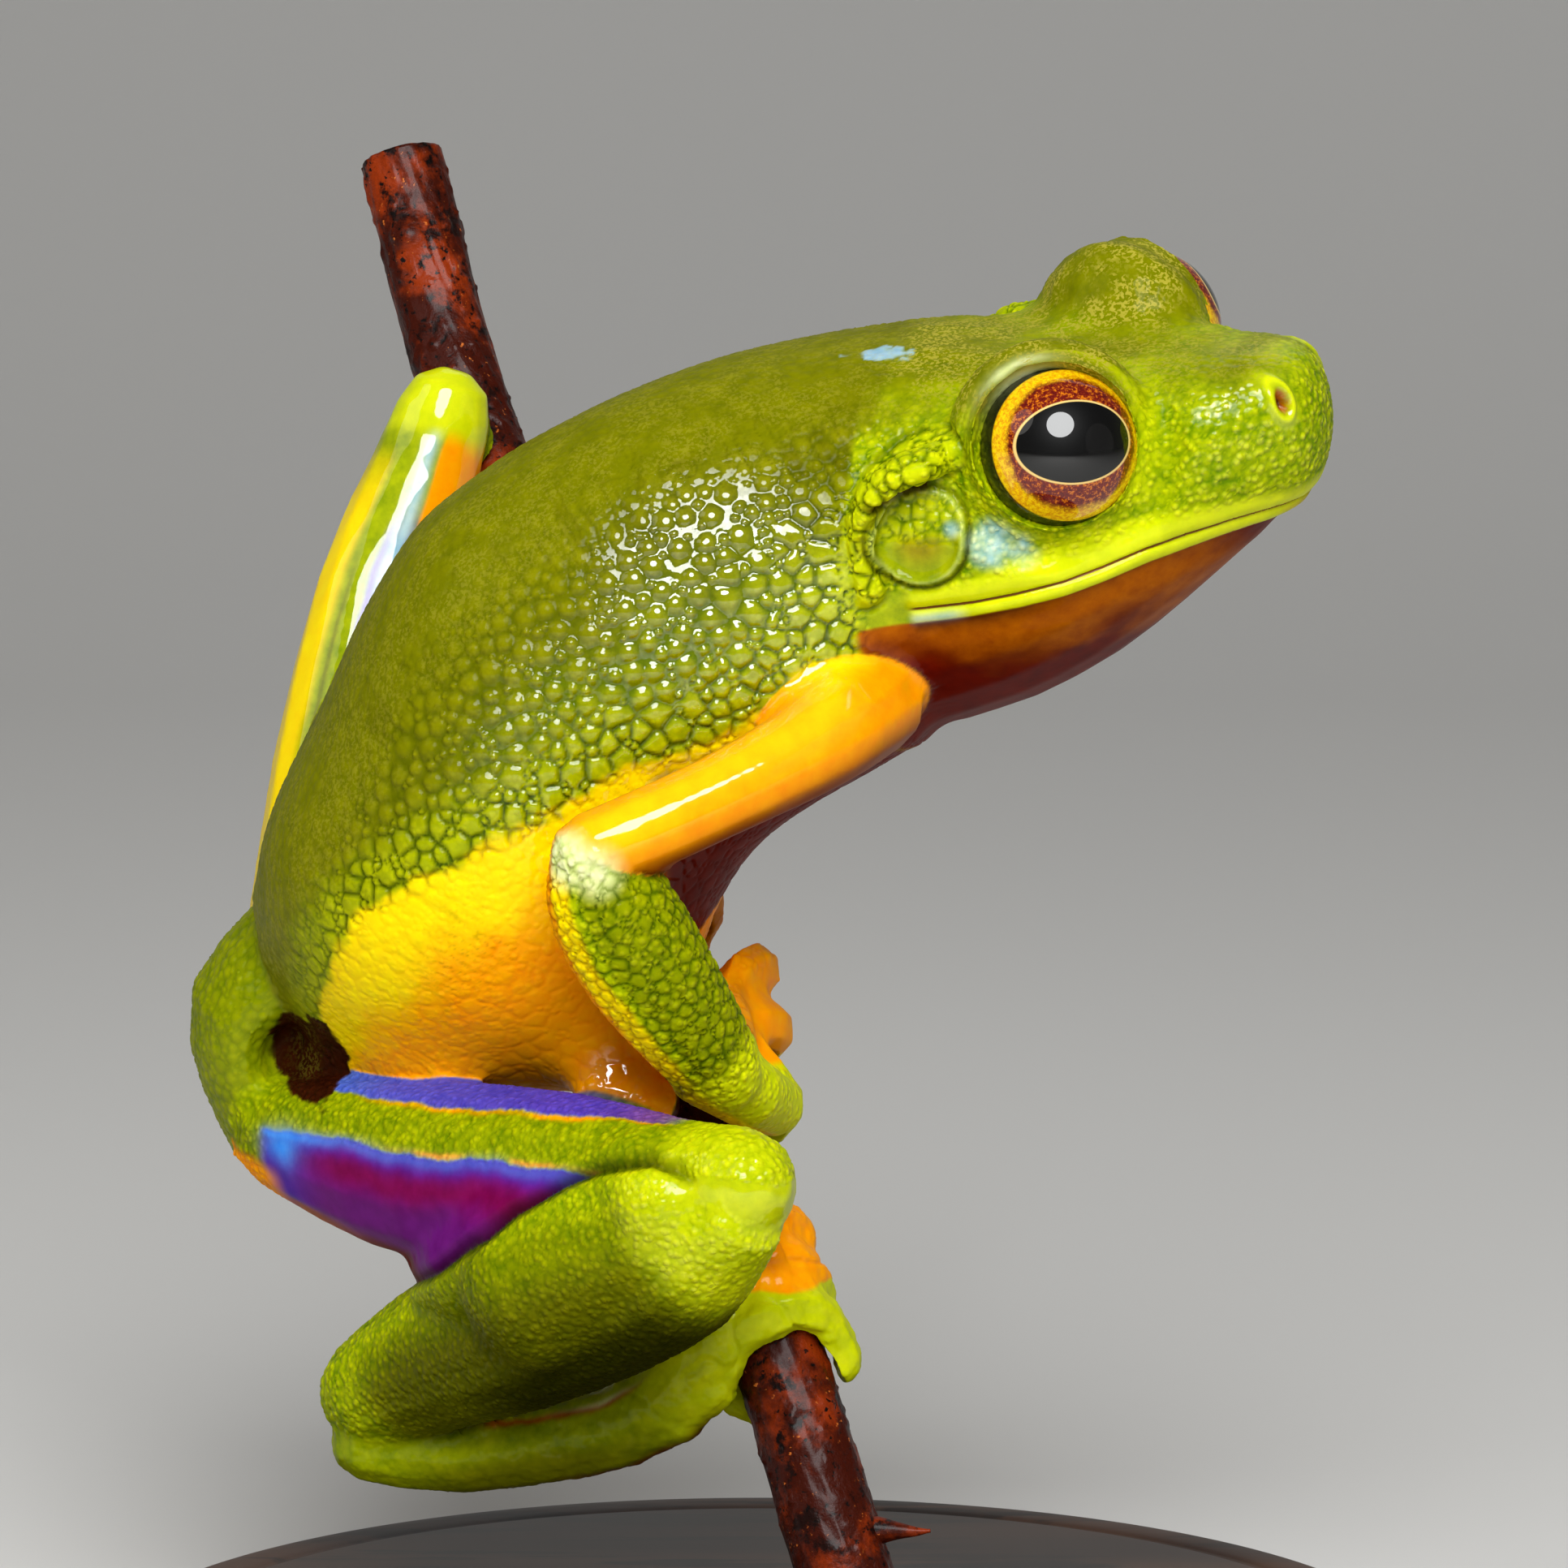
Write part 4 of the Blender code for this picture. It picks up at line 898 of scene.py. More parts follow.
def paint_arms(body, paint):
    """Orange upper arms with painted shade underneath, and the near forearm green in front and yellow behind,
    with a pale elbow that is partly painted highlight.
    """
    for side in ("right", "left"):
        place, turn = body.limbs["upper_arm_" + side]
        arm = body.cover("upper_arm_" + side)
        paint("orange", arm)
        upper = smooth_step(20, 60, turn + 14 * body.ripple)
        paint("yellow", arm * smooth_step(1.8, 0.8, place) * upper * 0.8)
        paint("yellow", arm * bell(turn + 10 * body.ripple, 40, 36) * smooth_step(0.5, 1.5, place) * 0.45)
        paint("yellow", arm * bell(place, 4.3, 0.7) * bell(turn, 20, 30) * 0.5)
        # Painted shade: rust and dark red on the arms' undersides
        paint("rust", arm * smooth_step(-5, -50, turn) * smooth_step(0.6, 2.0, place) * 0.4)
        paint("red", arm * smooth_step(-30, -66, turn) * 0.85)
    place, turn = body.limbs["forearm_right"]
    fore = body.cover("forearm_right")
    wave = turn + 8 * body.ripple
    paint("green", fore)
    paint("lime", fore * smooth_step(-18, -32, wave) * 0.8)
    paint("yellow", fore * smooth_step(-34, -46, wave))
    paint("orange", fore * smooth_step(-62, -78, wave))
    paint("orange", fore * smooth_step(112, 128, turn))
    paint("lemon", fore * smooth_step(3.1, 3.7, place + 0.3 * body.ripple))
    paint("yellow", fore * smooth_step(3.3, 3.9, place) * smooth_step(-28, -50, wave))
    # Pale elbow patches: partly pale skin, partly painted highlight
    for spot, size, strength in (((-5.85, -8.6, 28.95), 1.2, 1.3), ((-4.8, -8.9, 28.6), 1.1, 0.8)):
        paint("cream", body.spot(spot, size, 0.75) * (strength + 0.3 * body.grain))


def paint_hands(body, paint):
    """Orange hands, with painted shade in rust, brown and dark red on their rear and underside, where they
    wrap round the twig.
    """
    height = body.points[:, 2] + 0.25 * body.ripple
    near = body.cover("hand_right")
    grip = smooth_step(4.7, 4.4, body.twig_gap) * smooth_step(-2.7, -2.3, body.points[:, 0])
    grip *= smooth_step(18.8, 19.1, body.points[:, 2]) * smooth_step(27.0, 26.4, body.points[:, 2])
    grip *= (body.points[:, 1] > -3.2) * (1.0 - body.cover("forearm_right"))
    paint("orange", np.maximum(np.maximum(near, grip), body.cover("hand_left")))
    # Painted shade: rust and brown on the near hand's rear, between belly, thigh and twig
    paint("rust", near * smooth_step(-0.2, -0.9, body.points[:, 0]) * smooth_step(21.0, 21.6, height) * 0.6)
    paint("lemon", near * smooth_step(21.35, 21.0, height))
    paint("rust", near * smooth_step(-1.6, -2.4, body.points[:, 0]) * 0.8)
    paint("brown", near * smooth_step(-1.6, -2.4, body.points[:, 0]) * smooth_step(21.1, 20.6, height))
    # Painted shade: dark red under the far hand
    paint("red", body.cover("hand_left") * smooth_step(23.4, 24.4, height) * 0.85)


def paint_thigh(body, paint):
    """Green stripe along the near thigh, blue and violet above and below it, magenta and red underneath."""
    place, turn = body.limbs["thigh_right"]
    thigh = body.cover("thigh_right")
    wave = turn + 4 * body.ripple + 2.5 * body.grain
    paint("green", thigh)
    paint("lime", thigh * smooth_step(4, 10, wave) * 0.4)
    high_edge = np.interp(place, (0.5, 1.5, 2.5, 3.5, 4.2), (62, 60, 60, 70, 84))
    low_edge = np.interp(place, (0.3, 0.8, 1.6, 2.6, 3.6), (18, 19, 24, 24, 20))
    top = thigh * smooth_step(0.6, 1.0, place) * smooth_step(4.3, 3.8, place) * smooth_step(160, 130, turn)
    broken = smooth_step(-0.35, 0.25, body.ripple)
    high_line = top * bell(wave, high_edge - 1, 2.2) * (0.35 + 0.5 * broken)
    paint("orange", high_line * smooth_step(1.2, 2.2, place))
    above = top * smooth_step(high_edge, high_edge + 3, wave)
    paint("violet", above)
    paint("blue", above * np.interp(place, (0.9, 1.6, 3), (0.5, 0.22, 0.1)))
    paint("rust", above * smooth_step(3.3, 4.0, place) * 0.4)
    low = thigh * smooth_step(0.25, 0.5, place) * smooth_step(4.5, 4.1, place)
    paint("orange", low * bell(wave, low_edge + 1.5, 2.0) * smooth_step(1.6, 2.4, place) * broken * 0.7)
    paint("violet", low * smooth_step(low_edge, low_edge - 2.5, wave))
    paint("blue", low * bell(wave, low_edge - 5, 5) * np.interp(place, (0.8, 1.6, 3.4), (0.8, 0.34, 0.22)))
    paint("blue", thigh * bell(place, 0.72, 0.26) * bell(wave, 2, 14))
    streak = bell(wave, low_edge - 24 - 2 * (place - 1.0), 13.0) * smooth_step(0.9, 1.5, place)
    deep = low * smooth_step(low_edge - 10, low_edge - 22, wave)
    paint("magenta", deep * smooth_step(0.7, 1.3, place) * 0.6)
    paint("magenta", low * streak)
    underside = thigh * smooth_step(4.4, 3.9, place) * smooth_step(-50, -66, wave)
    paint("red", underside * smooth_step(0.8, 1.6, place))
    paint("orange", thigh * smooth_step(0.75, 0.3, place) * smooth_step(-16, -36, wave))
    paint("rust", thigh * bell(place, 0.9, 0.5) * smooth_step(-44, -60, wave))
    paint("orange", thigh * smooth_step(-120, -150, turn) * smooth_step(3.6, 3.0, place))
    paint("lemon", thigh * smooth_step(4.15, 4.6, place) * 0.7)


def paint_calf(body, paint):
    """The near calf: olive lower half as painted shade, and a lime upper edge that is partly its pale band
    and partly painted light.
    """
    place, turn = body.limbs["shank_right"]
    calf = body.cover("shank_right")
    wave = turn + 8 * body.ripple
    paint("green", calf)
    # Painted shade: olive on the lower half. Painted light: lime along the upper edge, over the calf's own
    # pale band
    paint("olive", calf * smooth_step(44, 10, wave) * smooth_step(0.4, 1.1, place) * 0.95)
    paint("lime", calf * smooth_step(44, 66, wave) * 0.95)
    paint("lime", calf * smooth_step(4.3, 4.8, place) * 0.8)
    paint("lemon", calf * smooth_step(0.9, 0.3, place) * 0.65)
    for spot, size in (((-6.3, -7.5, 16.9), 0.42), ((-5.1, -9.0, 16.9), 0.5), ((-4.8, -9.1, 16.6), 0.45)):
        paint("pale", calf * body.spot(spot, size, 0.7) * 0.55)


def paint_foot(body, paint):
    """The near foot: green above, olive below, orange and rust toes on the twig, and dark red painted shade
    on the inner toes.
    """
    place, turn = body.limbs["foot_right"]
    foot = body.cover("foot_right")
    height = body.points[:, 2] + 0.2 * body.ripple
    paint("green", foot)
    paint("lime", foot * 0.45)
    sole = foot * smooth_step(10, -25, turn) * smooth_step(0.3, 1.2, place)
    paint("olive", sole * smooth_step(2.6, 1.8, place))
    seam = foot * bell(turn + 6 * body.grain, 50, 6) * smooth_step(0.2, 0.8, place)
    paint("rust", seam * smooth_step(2.7, 2.2, place))
    paint("cream", foot * bell(turn, 54, 5) * bell(place, 2.1, 0.3) * 0.6)
    paint("lemon", foot * smooth_step(2.2, 3.0, place + 0.3 * body.ripple) * 0.8)
    paint("orange", foot * smooth_step(14.7, 14.85, height))
    paint("rust", foot * smooth_step(15.0, 15.8, height) * smooth_step(1.4, 0.2, body.points[:, 0]) * 0.8)
    # Painted shade: dark red on the inner toes, behind and under the foot
    inner = smooth_step(-1.0, -1.5, body.points[:, 0]) * smooth_step(-50, -80, turn)
    paint("red", foot * inner * smooth_step(1.3, 2.0, place))


def paint_far_leg(body, paint):
    """The far thigh, with its violet and orange open side and a pale stripe of painted highlight."""
    place, turn = body.limbs["thigh_left"]
    far = body.cover("thigh_left")
    wave = turn + 4 * body.ripple
    open_side = smooth_step(160, 130, turn)
    paint("lime", far * 0.8)
    paint("yellow", far * smooth_step(-32, -44, wave) * smooth_step(4.4, 3.4, place))
    paint("brown", far * bell(wave, -30, 2.0) * smooth_step(3.4, 2.6, place) * 0.5)
    paint("violet", far * smooth_step(-18, -12, wave) * open_side * smooth_step(3.9, 3.1, place))
    # Painted highlight: a pale stripe down the open side
    paint("pale", far * bell(wave, -2, 7) * open_side * smooth_step(2.2, 3.2, place) * 0.85)
    paint("blue", far * bell(wave, -8, 8) * open_side * smooth_step(2.6, 1.8, place) * 0.4)
    paint("orange", far * smooth_step(8, 14, wave) * open_side)
    paint("lemon", far * smooth_step(4.4, 4.75, place + 0.2 * body.ripple))


def paint_kneecap(body, paint):
    """The paler kneecap of the near leg, over thigh and calf alike."""
    leg = smooth_step(0.3, 0.5, body.weight["thigh_right"] + body.weight["shank_right"])
    kneecap = body.spot(KNEE_TIP, 2.7, 0.65) * leg
    paint("lime", kneecap * 0.7)
    paint("lemon", kneecap * 0.5)


# Granules: domes of mixed size, scattered so that none overlaps another.

def granule_sizes(body):
    """Radius of the larger granules, height of the relief and how tightly they pack at each point."""
    w, torso, head = body.weight, body.torso, body.skull
    count = len(body.points)
    made = {"radius": np.full(count, 0.2), "height": np.full(count, 0.045), "packed": np.full(count, 0.3)}

    def cover(mask, **targets):
        for name, target in targets.items():
            made[name] = blend_over(made[name], mask, target)

    edge = np.interp(body.trunk, BELLY_EDGE_PLACES, BELLY_EDGE_TURNS)
    neck = torso * smooth_step(1.35, 0.5, body.trunk) * smooth_step(50, 30, body.turn)
    cover(torso * smooth_step(74, 46, body.turn), radius=0.32, height=0.15, packed=0.15)
    cover(torso * smooth_step(3.2, 4.2, body.trunk), height=0.08)
    cover(torso * smooth_step(44, 72, body.turn), height=0.025)
    cover(torso * smooth_step(26, 6, body.turn - edge), packed=0.9)
    cover(neck, height=0.14, packed=1.0)
    cover(torso * smooth_step(-3, 5, edge - body.turn), radius=0.3, height=0.034, packed=0.8)
    cover(head, radius=0.15, height=0.045)
    cover(head * smooth_step(0.6, 2.4, body.up), height=0.015)
    cheek = head * smooth_step(-3.4, -4.8, body.forward) * smooth_step(0.5, -0.5, body.up)
    cover(cheek, radius=0.24, height=0.1, packed=0.9)
    cover(head * smooth_step(0.9, 0.5, body.lip), height=0.004)
    cover(head * smooth_step(2.6, 2.0, body.nostril), height=0.0)
    cover(head * bell(body.fold, 0.0, 0.5), radius=0.3, height=0.12, packed=1.0)
    lower_ear = 0.05 * smooth_step(-2.9, -1.9, body.up) * 1.6
    cover(head * smooth_step(1.1, 0.95, body.ear), radius=0.2, height=lower_ear)
    for side in ("right", "left"):
        forearm, legs = w["forearm_" + side], w["thigh_" + side] + w["shank_" + side]
        cover(w["upper_arm_" + side], height=0.0)
        cover(forearm, radius=0.22, height=0.085, packed=0.75)
        cover(forearm * smooth_step(3.6, 4.2, body.limbs["forearm_" + side][0]), height=0.012)
        cover(w["hand_" + side], height=0.006)
        cover(legs, radius=0.17, height=0.045, packed=0.5)
        cover(w["foot_" + side], height=0.02)
    place, turn = body.limbs["thigh_right"]
    bare = w["thigh_right"] * smooth_step(0.2, 0.6, place) * smooth_step(24, 18, turn)
    cover(bare + w["thigh_left"], height=0.004)
    return made["radius"], made["height"], made["packed"]


def scatter_granules(points, radius, height):
    """Centres and radii of the granules: large ones first, then small ones in the spaces."""
    rng = np.random.default_rng(GRANULE_SEED)
    chance = np.where(height > LEAST_GRANULE_HEIGHT, 1.0 / radius ** 2, 0.0)
    chance /= chance.sum()
    most = int(np.count_nonzero(chance) * 0.6)
    grid = {}
    centres, radii = [], []
    for share_low, share_high, tries in GRANULE_ROUNDS:
        picks = rng.choice(len(points), min(tries, most), replace=False, p=chance)
        grown = radius[picks] * rng.uniform(share_low, share_high, len(picks))
        for index, size in zip(picks.tolist(), grown.tolist()):
            x, y, z = points[index].tolist()
            cell = tuple(int(value // GRANULE_CELL) for value in (x, y, z))
            if clear_of_granules(grid, cell, x, y, z, size):
                grid.setdefault(cell, []).append((x, y, z, size))
                centres.append((x, y, z))
                radii.append(size)
    return np.array(centres), np.array(radii)


def clear_of_granules(grid, cell, x, y, z, size):
    """True if a granule placed here would overlap none of those in the cells round it."""
    for dx in (-1, 0, 1):
        for dy in (-1, 0, 1):
            for dz in (-1, 0, 1):
                for px, py, pz, other in grid.get((cell[0] + dx, cell[1] + dy, cell[2] + dz), ()):
                    reach = (size + other) * GRANULE_CLEARANCE
                    if (px - x) ** 2 + (py - y) ** 2 + (pz - z) ** 2 < reach * reach:
                        return False
    return True


def granule_relief(points, centres, radii):
    """Two forms of relief at each point: separate domes, and cushions that meet in creases."""
    tree = KDTree(len(centres))
    for i, centre in enumerate(centres):
        tree.insert(centre, i)
    tree.balance()
    first = np.full(len(points), FAR)
    second = np.full(len(points), FAR)
    find = tree.find_n
    for i, point in enumerate(points.tolist()):
        best = next_best = FAR
        for _, index, gap in find(point, 4):
            share = gap / radii[index]
            if share < best:
                best, next_best = share, best
            elif share < next_best:
                next_best = share
        first[i] = best
        second[i] = next_best
    domes = (1.0 - np.clip(first, 0.0, 1.0) ** 2) ** 0.7
    cushions = smooth_step(0.0, 0.9, second - first) ** 0.6
    return domes, cushions


def wrinkles(body):
    """Fine creases across the trunk, from 0 to 1."""
    place = np.stack((body.trunk * 5.3 / 0.42, body.turn / 26.0, np.sign(body.trunk_side) * 7.0), axis=1)
    lines = soft_noise(place + 0.3 * body.grain[:, None], 1.0, 41)
    second = soft_noise(place * (1.7, 1.3, 1.0), 1.0, 43)
    near = np.maximum(bell(lines, 0.0, 0.09), bell(second, 0.0, 0.07) * 0.7)
    patchy = smooth_step(-0.3, 0.5, rough_noise(body.points, 3.0, 47))
    return near * patchy * body.torso * smooth_step(86, 60, body.turn) * smooth_step(-30, 0, body.turn)


def joint_creases(body):
    """Deep folds where one part of a leg or arm lies against the next, or against the trunk."""
    w = body.weight
    made = np.zeros(len(body.points))
    thigh_place = body.limbs["thigh_right"][0]
    calf_place = body.limbs["shank_right"][0]
    apart = smooth_step(2.4, 3.4, body.knee_gap)
    made += 4.0 * w["thigh_right"] * w["shank_right"] * smooth_step(4.2, 3.4, thigh_place) * apart
    made += 4.0 * w["shank_right"] * w["foot_right"] * smooth_step(4.7, 4.2, calf_place)
    far_place = body.limbs["thigh_left"][0]
    made += 4.0 * w["thigh_left"] * w["shank_left"] * smooth_step(4.4, 3.8, far_place)
    made += 4.0 * w["shank_left"] * w["foot_left"]
    upper_place = body.limbs["upper_arm_right"][0]
    made += 4.0 * w["upper_arm_right"] * w["forearm_right"] * smooth_step(4.6, 4.0, upper_place) * 0.8
    made += 4.0 * w["upper_arm_right"] * w["trunk"] * smooth_step(1.0, 2.0, upper_place) * 0.6
    made += 4.0 * w["forearm_right"] * w["trunk"] * 0.6
    return np.clip(made, 0.0, 1.0) ** 2


def foot_folds(body):
    """Lumps and cross folds of the near foot, in millimetres."""
    place, turn = body.limbs["foot_right"]
    foot = body.cover("foot_right")
    lumps = rough_noise(body.points, 1.1, 61)
    folds = bell(soft_noise(np.stack((place * 2.6, turn / 60.0, turn * 0.0), axis=1), 1.0, 67), 0.0, 0.12)
    return foot * (0.14 * lumps * smooth_step(1.0, 1.8, place) - 0.09 * folds * smooth_step(2.0, 3.0, place))


def knee_crease(body):
    """The crease between the near calf and knee, from 0 to 1."""
    leg = body.weight["thigh_right"] + body.weight["shank_right"]
    knee = bell(body.knee_gap, 0.0, 0.2) * leg
    return knee * np.interp(body.knee_line, (0, 1, 3, 5, 7, 8, 9), (0.6, 1.0, 1.0, 1.0, 1.0, 0.9, 0.5))


def feature_rise(body, joints, knee):
    """Rise of the skin at the mouth, ear, nostrils, folds and joints, in millimetres."""
    head, lip, mouth, ear = body.skull, body.lip, body.mouth, body.ear
    low = smooth_step(-1.3, -2.3, body.up)
    rise = np.zeros(len(body.points))
    lips = 0.05 * bell(lip, -0.26, 0.16) + 0.04 * bell(lip, 0.3, 0.25) - 0.12 * bell(lip, 0.0, 0.06)
    rise += mouth * lips
    rise -= mouth * 0.1 * smooth_step(-0.42, -0.6, lip) * smooth_step(-1.6, -0.8, lip)
    rise += head * (0.07 * bell(ear, 0.98, 0.06) - 0.09 * smooth_step(0.94, 0.75, ear))
    rise -= head * (ear < 1.4) * 0.12 * bell(ear, 1.13, 0.06) * (0.3 + 0.7 * low)
    rise += head * (0.2 * bell(body.fold, 0.0, 0.4) - 0.14 * bell(body.fold, 0.62, 0.12))
    rise -= head * 0.16 * bell(body.slit, 0.0, 0.14)
    rise += head * (0.08 * bell(body.nostril, 1.45, 0.3) - 0.4 * smooth_step(1.1, 0.6, body.nostril))
    rise -= 0.3 * joints + 0.38 * knee
    return rise + foot_folds(body)


def crease_shade(body, joints, knee):
    """Painted shade in creases and folds, round the eardrum, on the near calf and in the groin, from 0 to 1.
    """
    head, ear, calf = body.skull, body.ear, body.cover("shank_right")
    place, turn = body.limbs["shank_right"]
    wave = turn + 8 * body.ripple
    low = smooth_step(-1.3, -2.3, body.up)
    middle = smooth_step(52, 18, wave) * smooth_step(0.8, 1.8, place)
    underside = smooth_step(8, -36, wave) * smooth_step(4.0, 2.8, place)
    # Each row is painted shade: joints and knee, the calf, the eardrum's groove (darker low down), the valley
    # under the fold and the groin
    return np.maximum.reduce([
        np.clip(joints + 0.9 * knee, 0.0, 1.0),
        # Painted shade on the near calf: its middle, and deeper on its underside
        0.36 * calf * middle * smooth_step(4.6, 3.8, place),
        0.95 * calf * underside * smooth_step(0.5, 1.2, place),
        head * (ear < 1.4) * bell(ear, 1.13, 0.05) * (0.25 + 0.6 * low),
        head * bell(body.fold, 0.62, 0.09) * 0.5,
        0.45 * body.groin,
    ])


# Materials.

def srgb(red, green, blue):
    """A colour as the shader takes it, from screen values of 0 to 255."""
    def linear(value):
        value /= 255.0
        return value / 12.92 if value <= 0.04045 else ((value + 0.055) / 1.055) ** 2.4
    return (linear(red), linear(green), linear(blue), 1.0)


def node(tree, kind, **settings):
    made = tree.nodes.new(kind)
    for name, value in settings.items():
        setattr(made, name, value)
    return made


def new_material(name, finish):
    """A node material with its shader's plain values set; gives it, its node tree and the shader."""
    made = bpy.data.materials.new(name)
    made.use_nodes = True
    shader = made.node_tree.nodes["Principled BSDF"]
    for socket, value in finish.items():
        shader.inputs[socket].default_value = value
    return made, made.node_tree, shader


def object_place(tree):
    """Where each spot of the surface lies in its object, in metres."""
    return node(tree, "ShaderNodeTexCoord").outputs["Object"]


def attribute(tree, name):
    """A mask or measure that the mesh carries at its points."""
    return node(tree, "ShaderNodeAttribute", attribute_name=name).outputs["Fac"]


def math_node(tree, operation, first, second=None, third=None, clamp=False):
    """A math node on numbers or sockets; gives its result."""
    made = node(tree, "ShaderNodeMath", operation=operation, use_clamp=clamp)
    for place, value in enumerate((first, second, third)):
        if value is None:
            continue
        if isinstance(value, (int, float)):
            made.inputs[place].default_value = value
        else:
            tree.links.new(value, made.inputs[place])
    return made.outputs[0]


def mix_colour(tree, mask, first, second):
    """The first colour with the second over it by a mask."""
    made = node(tree, "ShaderNodeMix", data_type="RGBA")
    for place, value in ((0, mask), (6, first), (7, second)):
        if isinstance(value, (tuple, float)):
            made.inputs[place].default_value = value
        else:
            tree.links.new(value, made.inputs[place])
    return made.outputs[2]


def ramp(tree, value, low, high):
    """A value made 0 at low and 1 at high, with a soft slope."""
    made = node(tree, "ShaderNodeMapRange", interpolation_type="SMOOTHSTEP")
    tree.links.new(value, made.inputs["Value"])
    made.inputs["From Min"].default_value = low
    made.inputs["From Max"].default_value = high
    return made.outputs["Result"]


def add_bump(tree, shader, height, strength, distance):
    """Fine relief from a height, no deeper than a distance in metres."""
    bump = node(tree, "ShaderNodeBump")
    bump.inputs["Strength"].default_value = strength
    bump.inputs["Distance"].default_value = distance
    tree.links.new(height, bump.inputs["Height"])
    tree.links.new(bump.outputs["Normal"], shader.inputs["Normal"])


def mottling_group():
    """Mottling in skin, eyes, bark, wood and steel: noise, and a mask that rises between two values."""
    if "mottling" in bpy.data.node_groups:
        return bpy.data.node_groups["mottling"]
    made = bpy.data.node_groups.new("mottling", "ShaderNodeTree")
    made.interface.new_socket("Place", in_out="INPUT", socket_type="NodeSocketVector")
    for name in ("Scale", "Detail", "Roughness", "Low", "High"):
        made.interface.new_socket(name, in_out="INPUT", socket_type="NodeSocketFloat")
    for name in ("Mask", "Noise"):
        made.interface.new_socket(name, in_out="OUTPUT", socket_type="NodeSocketFloat")
    inside = node(made, "NodeGroupInput")
    outside = node(made, "NodeGroupOutput")
    noise = node(made, "ShaderNodeTexNoise")
    mask = node(made, "ShaderNodeMapRange", interpolation_type="SMOOTHSTEP")
    link = made.links.new
    link(inside.outputs["Place"], noise.inputs["Vector"])
    for name in ("Scale", "Detail", "Roughness"):
        link(inside.outputs[name], noise.inputs[name])
    link(noise.outputs["Fac"], mask.inputs["Value"])
    link(inside.outputs["Low"], mask.inputs["From Min"])
    link(inside.outputs["High"], mask.inputs["From Max"])
    link(mask.outputs["Result"], outside.inputs["Mask"])
    link(noise.outputs["Fac"], outside.inputs["Noise"])
    return made


def mottling(tree, place, scale, detail, roughness, low=0.0, high=1.0):
    """Places the mottling group with its own values; gives its mask and its noise."""
    made = node(tree, "ShaderNodeGroup", node_tree=mottling_group())
    tree.links.new(place, made.inputs["Place"])
    values = {"Scale": scale, "Detail": detail, "Roughness": roughness, "Low": low, "High": high}
    for name, value in values.items():
        made.inputs[name].default_value = value
    return made.outputs["Mask"], made.outputs["Noise"]


def layer_group():
    """A painted layer: over what is under it, valleys and tips of granules in their own colours."""
    made = bpy.data.node_groups.new("painted_layer", "ShaderNodeTree")
    for name in ("Under", "Valley", "Tip"):
        made.interface.new_socket(name, in_out="INPUT", socket_type="NodeSocketColor")
    for name in ("Relief", "Mask"):
        made.interface.new_socket(name, in_out="INPUT", socket_type="NodeSocketFloat")
    made.interface.new_socket("Colour", in_out="OUTPUT", socket_type="NodeSocketColor")
    inside = node(made, "NodeGroupInput")
    outside = node(made, "NodeGroupOutput")
    tint = node(made, "ShaderNodeMix", data_type="RGBA")
    over = node(made, "ShaderNodeMix", data_type="RGBA")
    link = made.links.new
    link(inside.outputs["Relief"], tint.inputs[0])
    link(inside.outputs["Valley"], tint.inputs[6])
    link(inside.outputs["Tip"], tint.inputs[7])
    link(inside.outputs["Mask"], over.inputs[0])
    link(inside.outputs["Under"], over.inputs[6])
    link(tint.outputs[2], over.inputs[7])
    link(over.outputs[2], outside.inputs["Colour"])
    return made


# What is the same all over the skin, and what a crease multiplies the skin's colour by, as painted shade
SKIN_FINISH = {
    "Coat Roughness": 0.05,
    "Coat IOR": 1.9,
    "IOR": 1.3,
    "Specular IOR Level": 0.06,
    "Specular Tint": (1.0, 0.95, 0.3, 1.0),
    "Subsurface Weight": 0.12,
    "Subsurface Radius": (1.0, 0.6, 0.2),
    "Subsurface Scale": 0.0005,
}
CREASE_SHADE_TINT = (0.14, 0.14, 0.03, 1.0)


def fine_beads(tree, place, beaded):
    """Beads finer than the mesh, where the skin is finely beaded."""
    beads = node(tree, "ShaderNodeTexVoronoi")
    tree.links.new(place, beads.inputs["Vector"])
    beads.inputs["Scale"].default_value = 3900.0
    return math_node(tree, "MULTIPLY", ramp(tree, beads.outputs["Distance"], 0.62, 0.12), beaded)


def granule_tips(tree, place, relief, beads, beaded):
    """How near a spot is to the tip of its granule or bead, with some mottling in it."""
    _, noise = mottling(tree, place, 1500.0, 5.0, 0.62)
    tips = math_node(tree, "ADD", relief, math_node(tree, "MULTIPLY_ADD", noise, 1.5, -0.75), clamp=True)
    lowered = math_node(tree, "MULTIPLY_ADD", beaded, -0.2, tips)
    return math_node(tree, "MULTIPLY_ADD", beads, 0.5, lowered, clamp=True)


def painted_skin(tree, tips):
    """The layers of skin colour, each over the ones before it by its mask."""
    group = layer_group()
    colour = None
    for name, valley, tip in SKIN_LAYERS:
        layer = node(tree, "ShaderNodeGroup", node_tree=group)
        layer.inputs["Valley"].default_value = srgb(*valley)
        layer.inputs["Tip"].default_value = srgb(*tip)
        tree.links.new(tips, layer.inputs["Relief"])
        if colour is None:
            layer.inputs["Mask"].default_value = 1.0
        else:
            tree.links.new(attribute(tree, name), layer.inputs["Mask"])
            tree.links.new(colour, layer.inputs["Under"])
        colour = layer.outputs["Colour"]
    return colour


def with_specks(tree, place, colour):
    """Small pale specks in loose clouds."""
    specks, _ = mottling(tree, place, 9000.0, 2.0, 0.5, 0.48, 0.56)
    clouds, _ = mottling(tree, place, 640.0, 3.0, 0.6, 0.38, 0.54)
    specks = math_node(tree, "MULTIPLY", specks, clouds)
    specks = math_node(tree, "MULTIPLY", specks, attribute(tree, "speckle"))
    return mix_colour(tree, specks, colour, srgb(170, 160, 52))


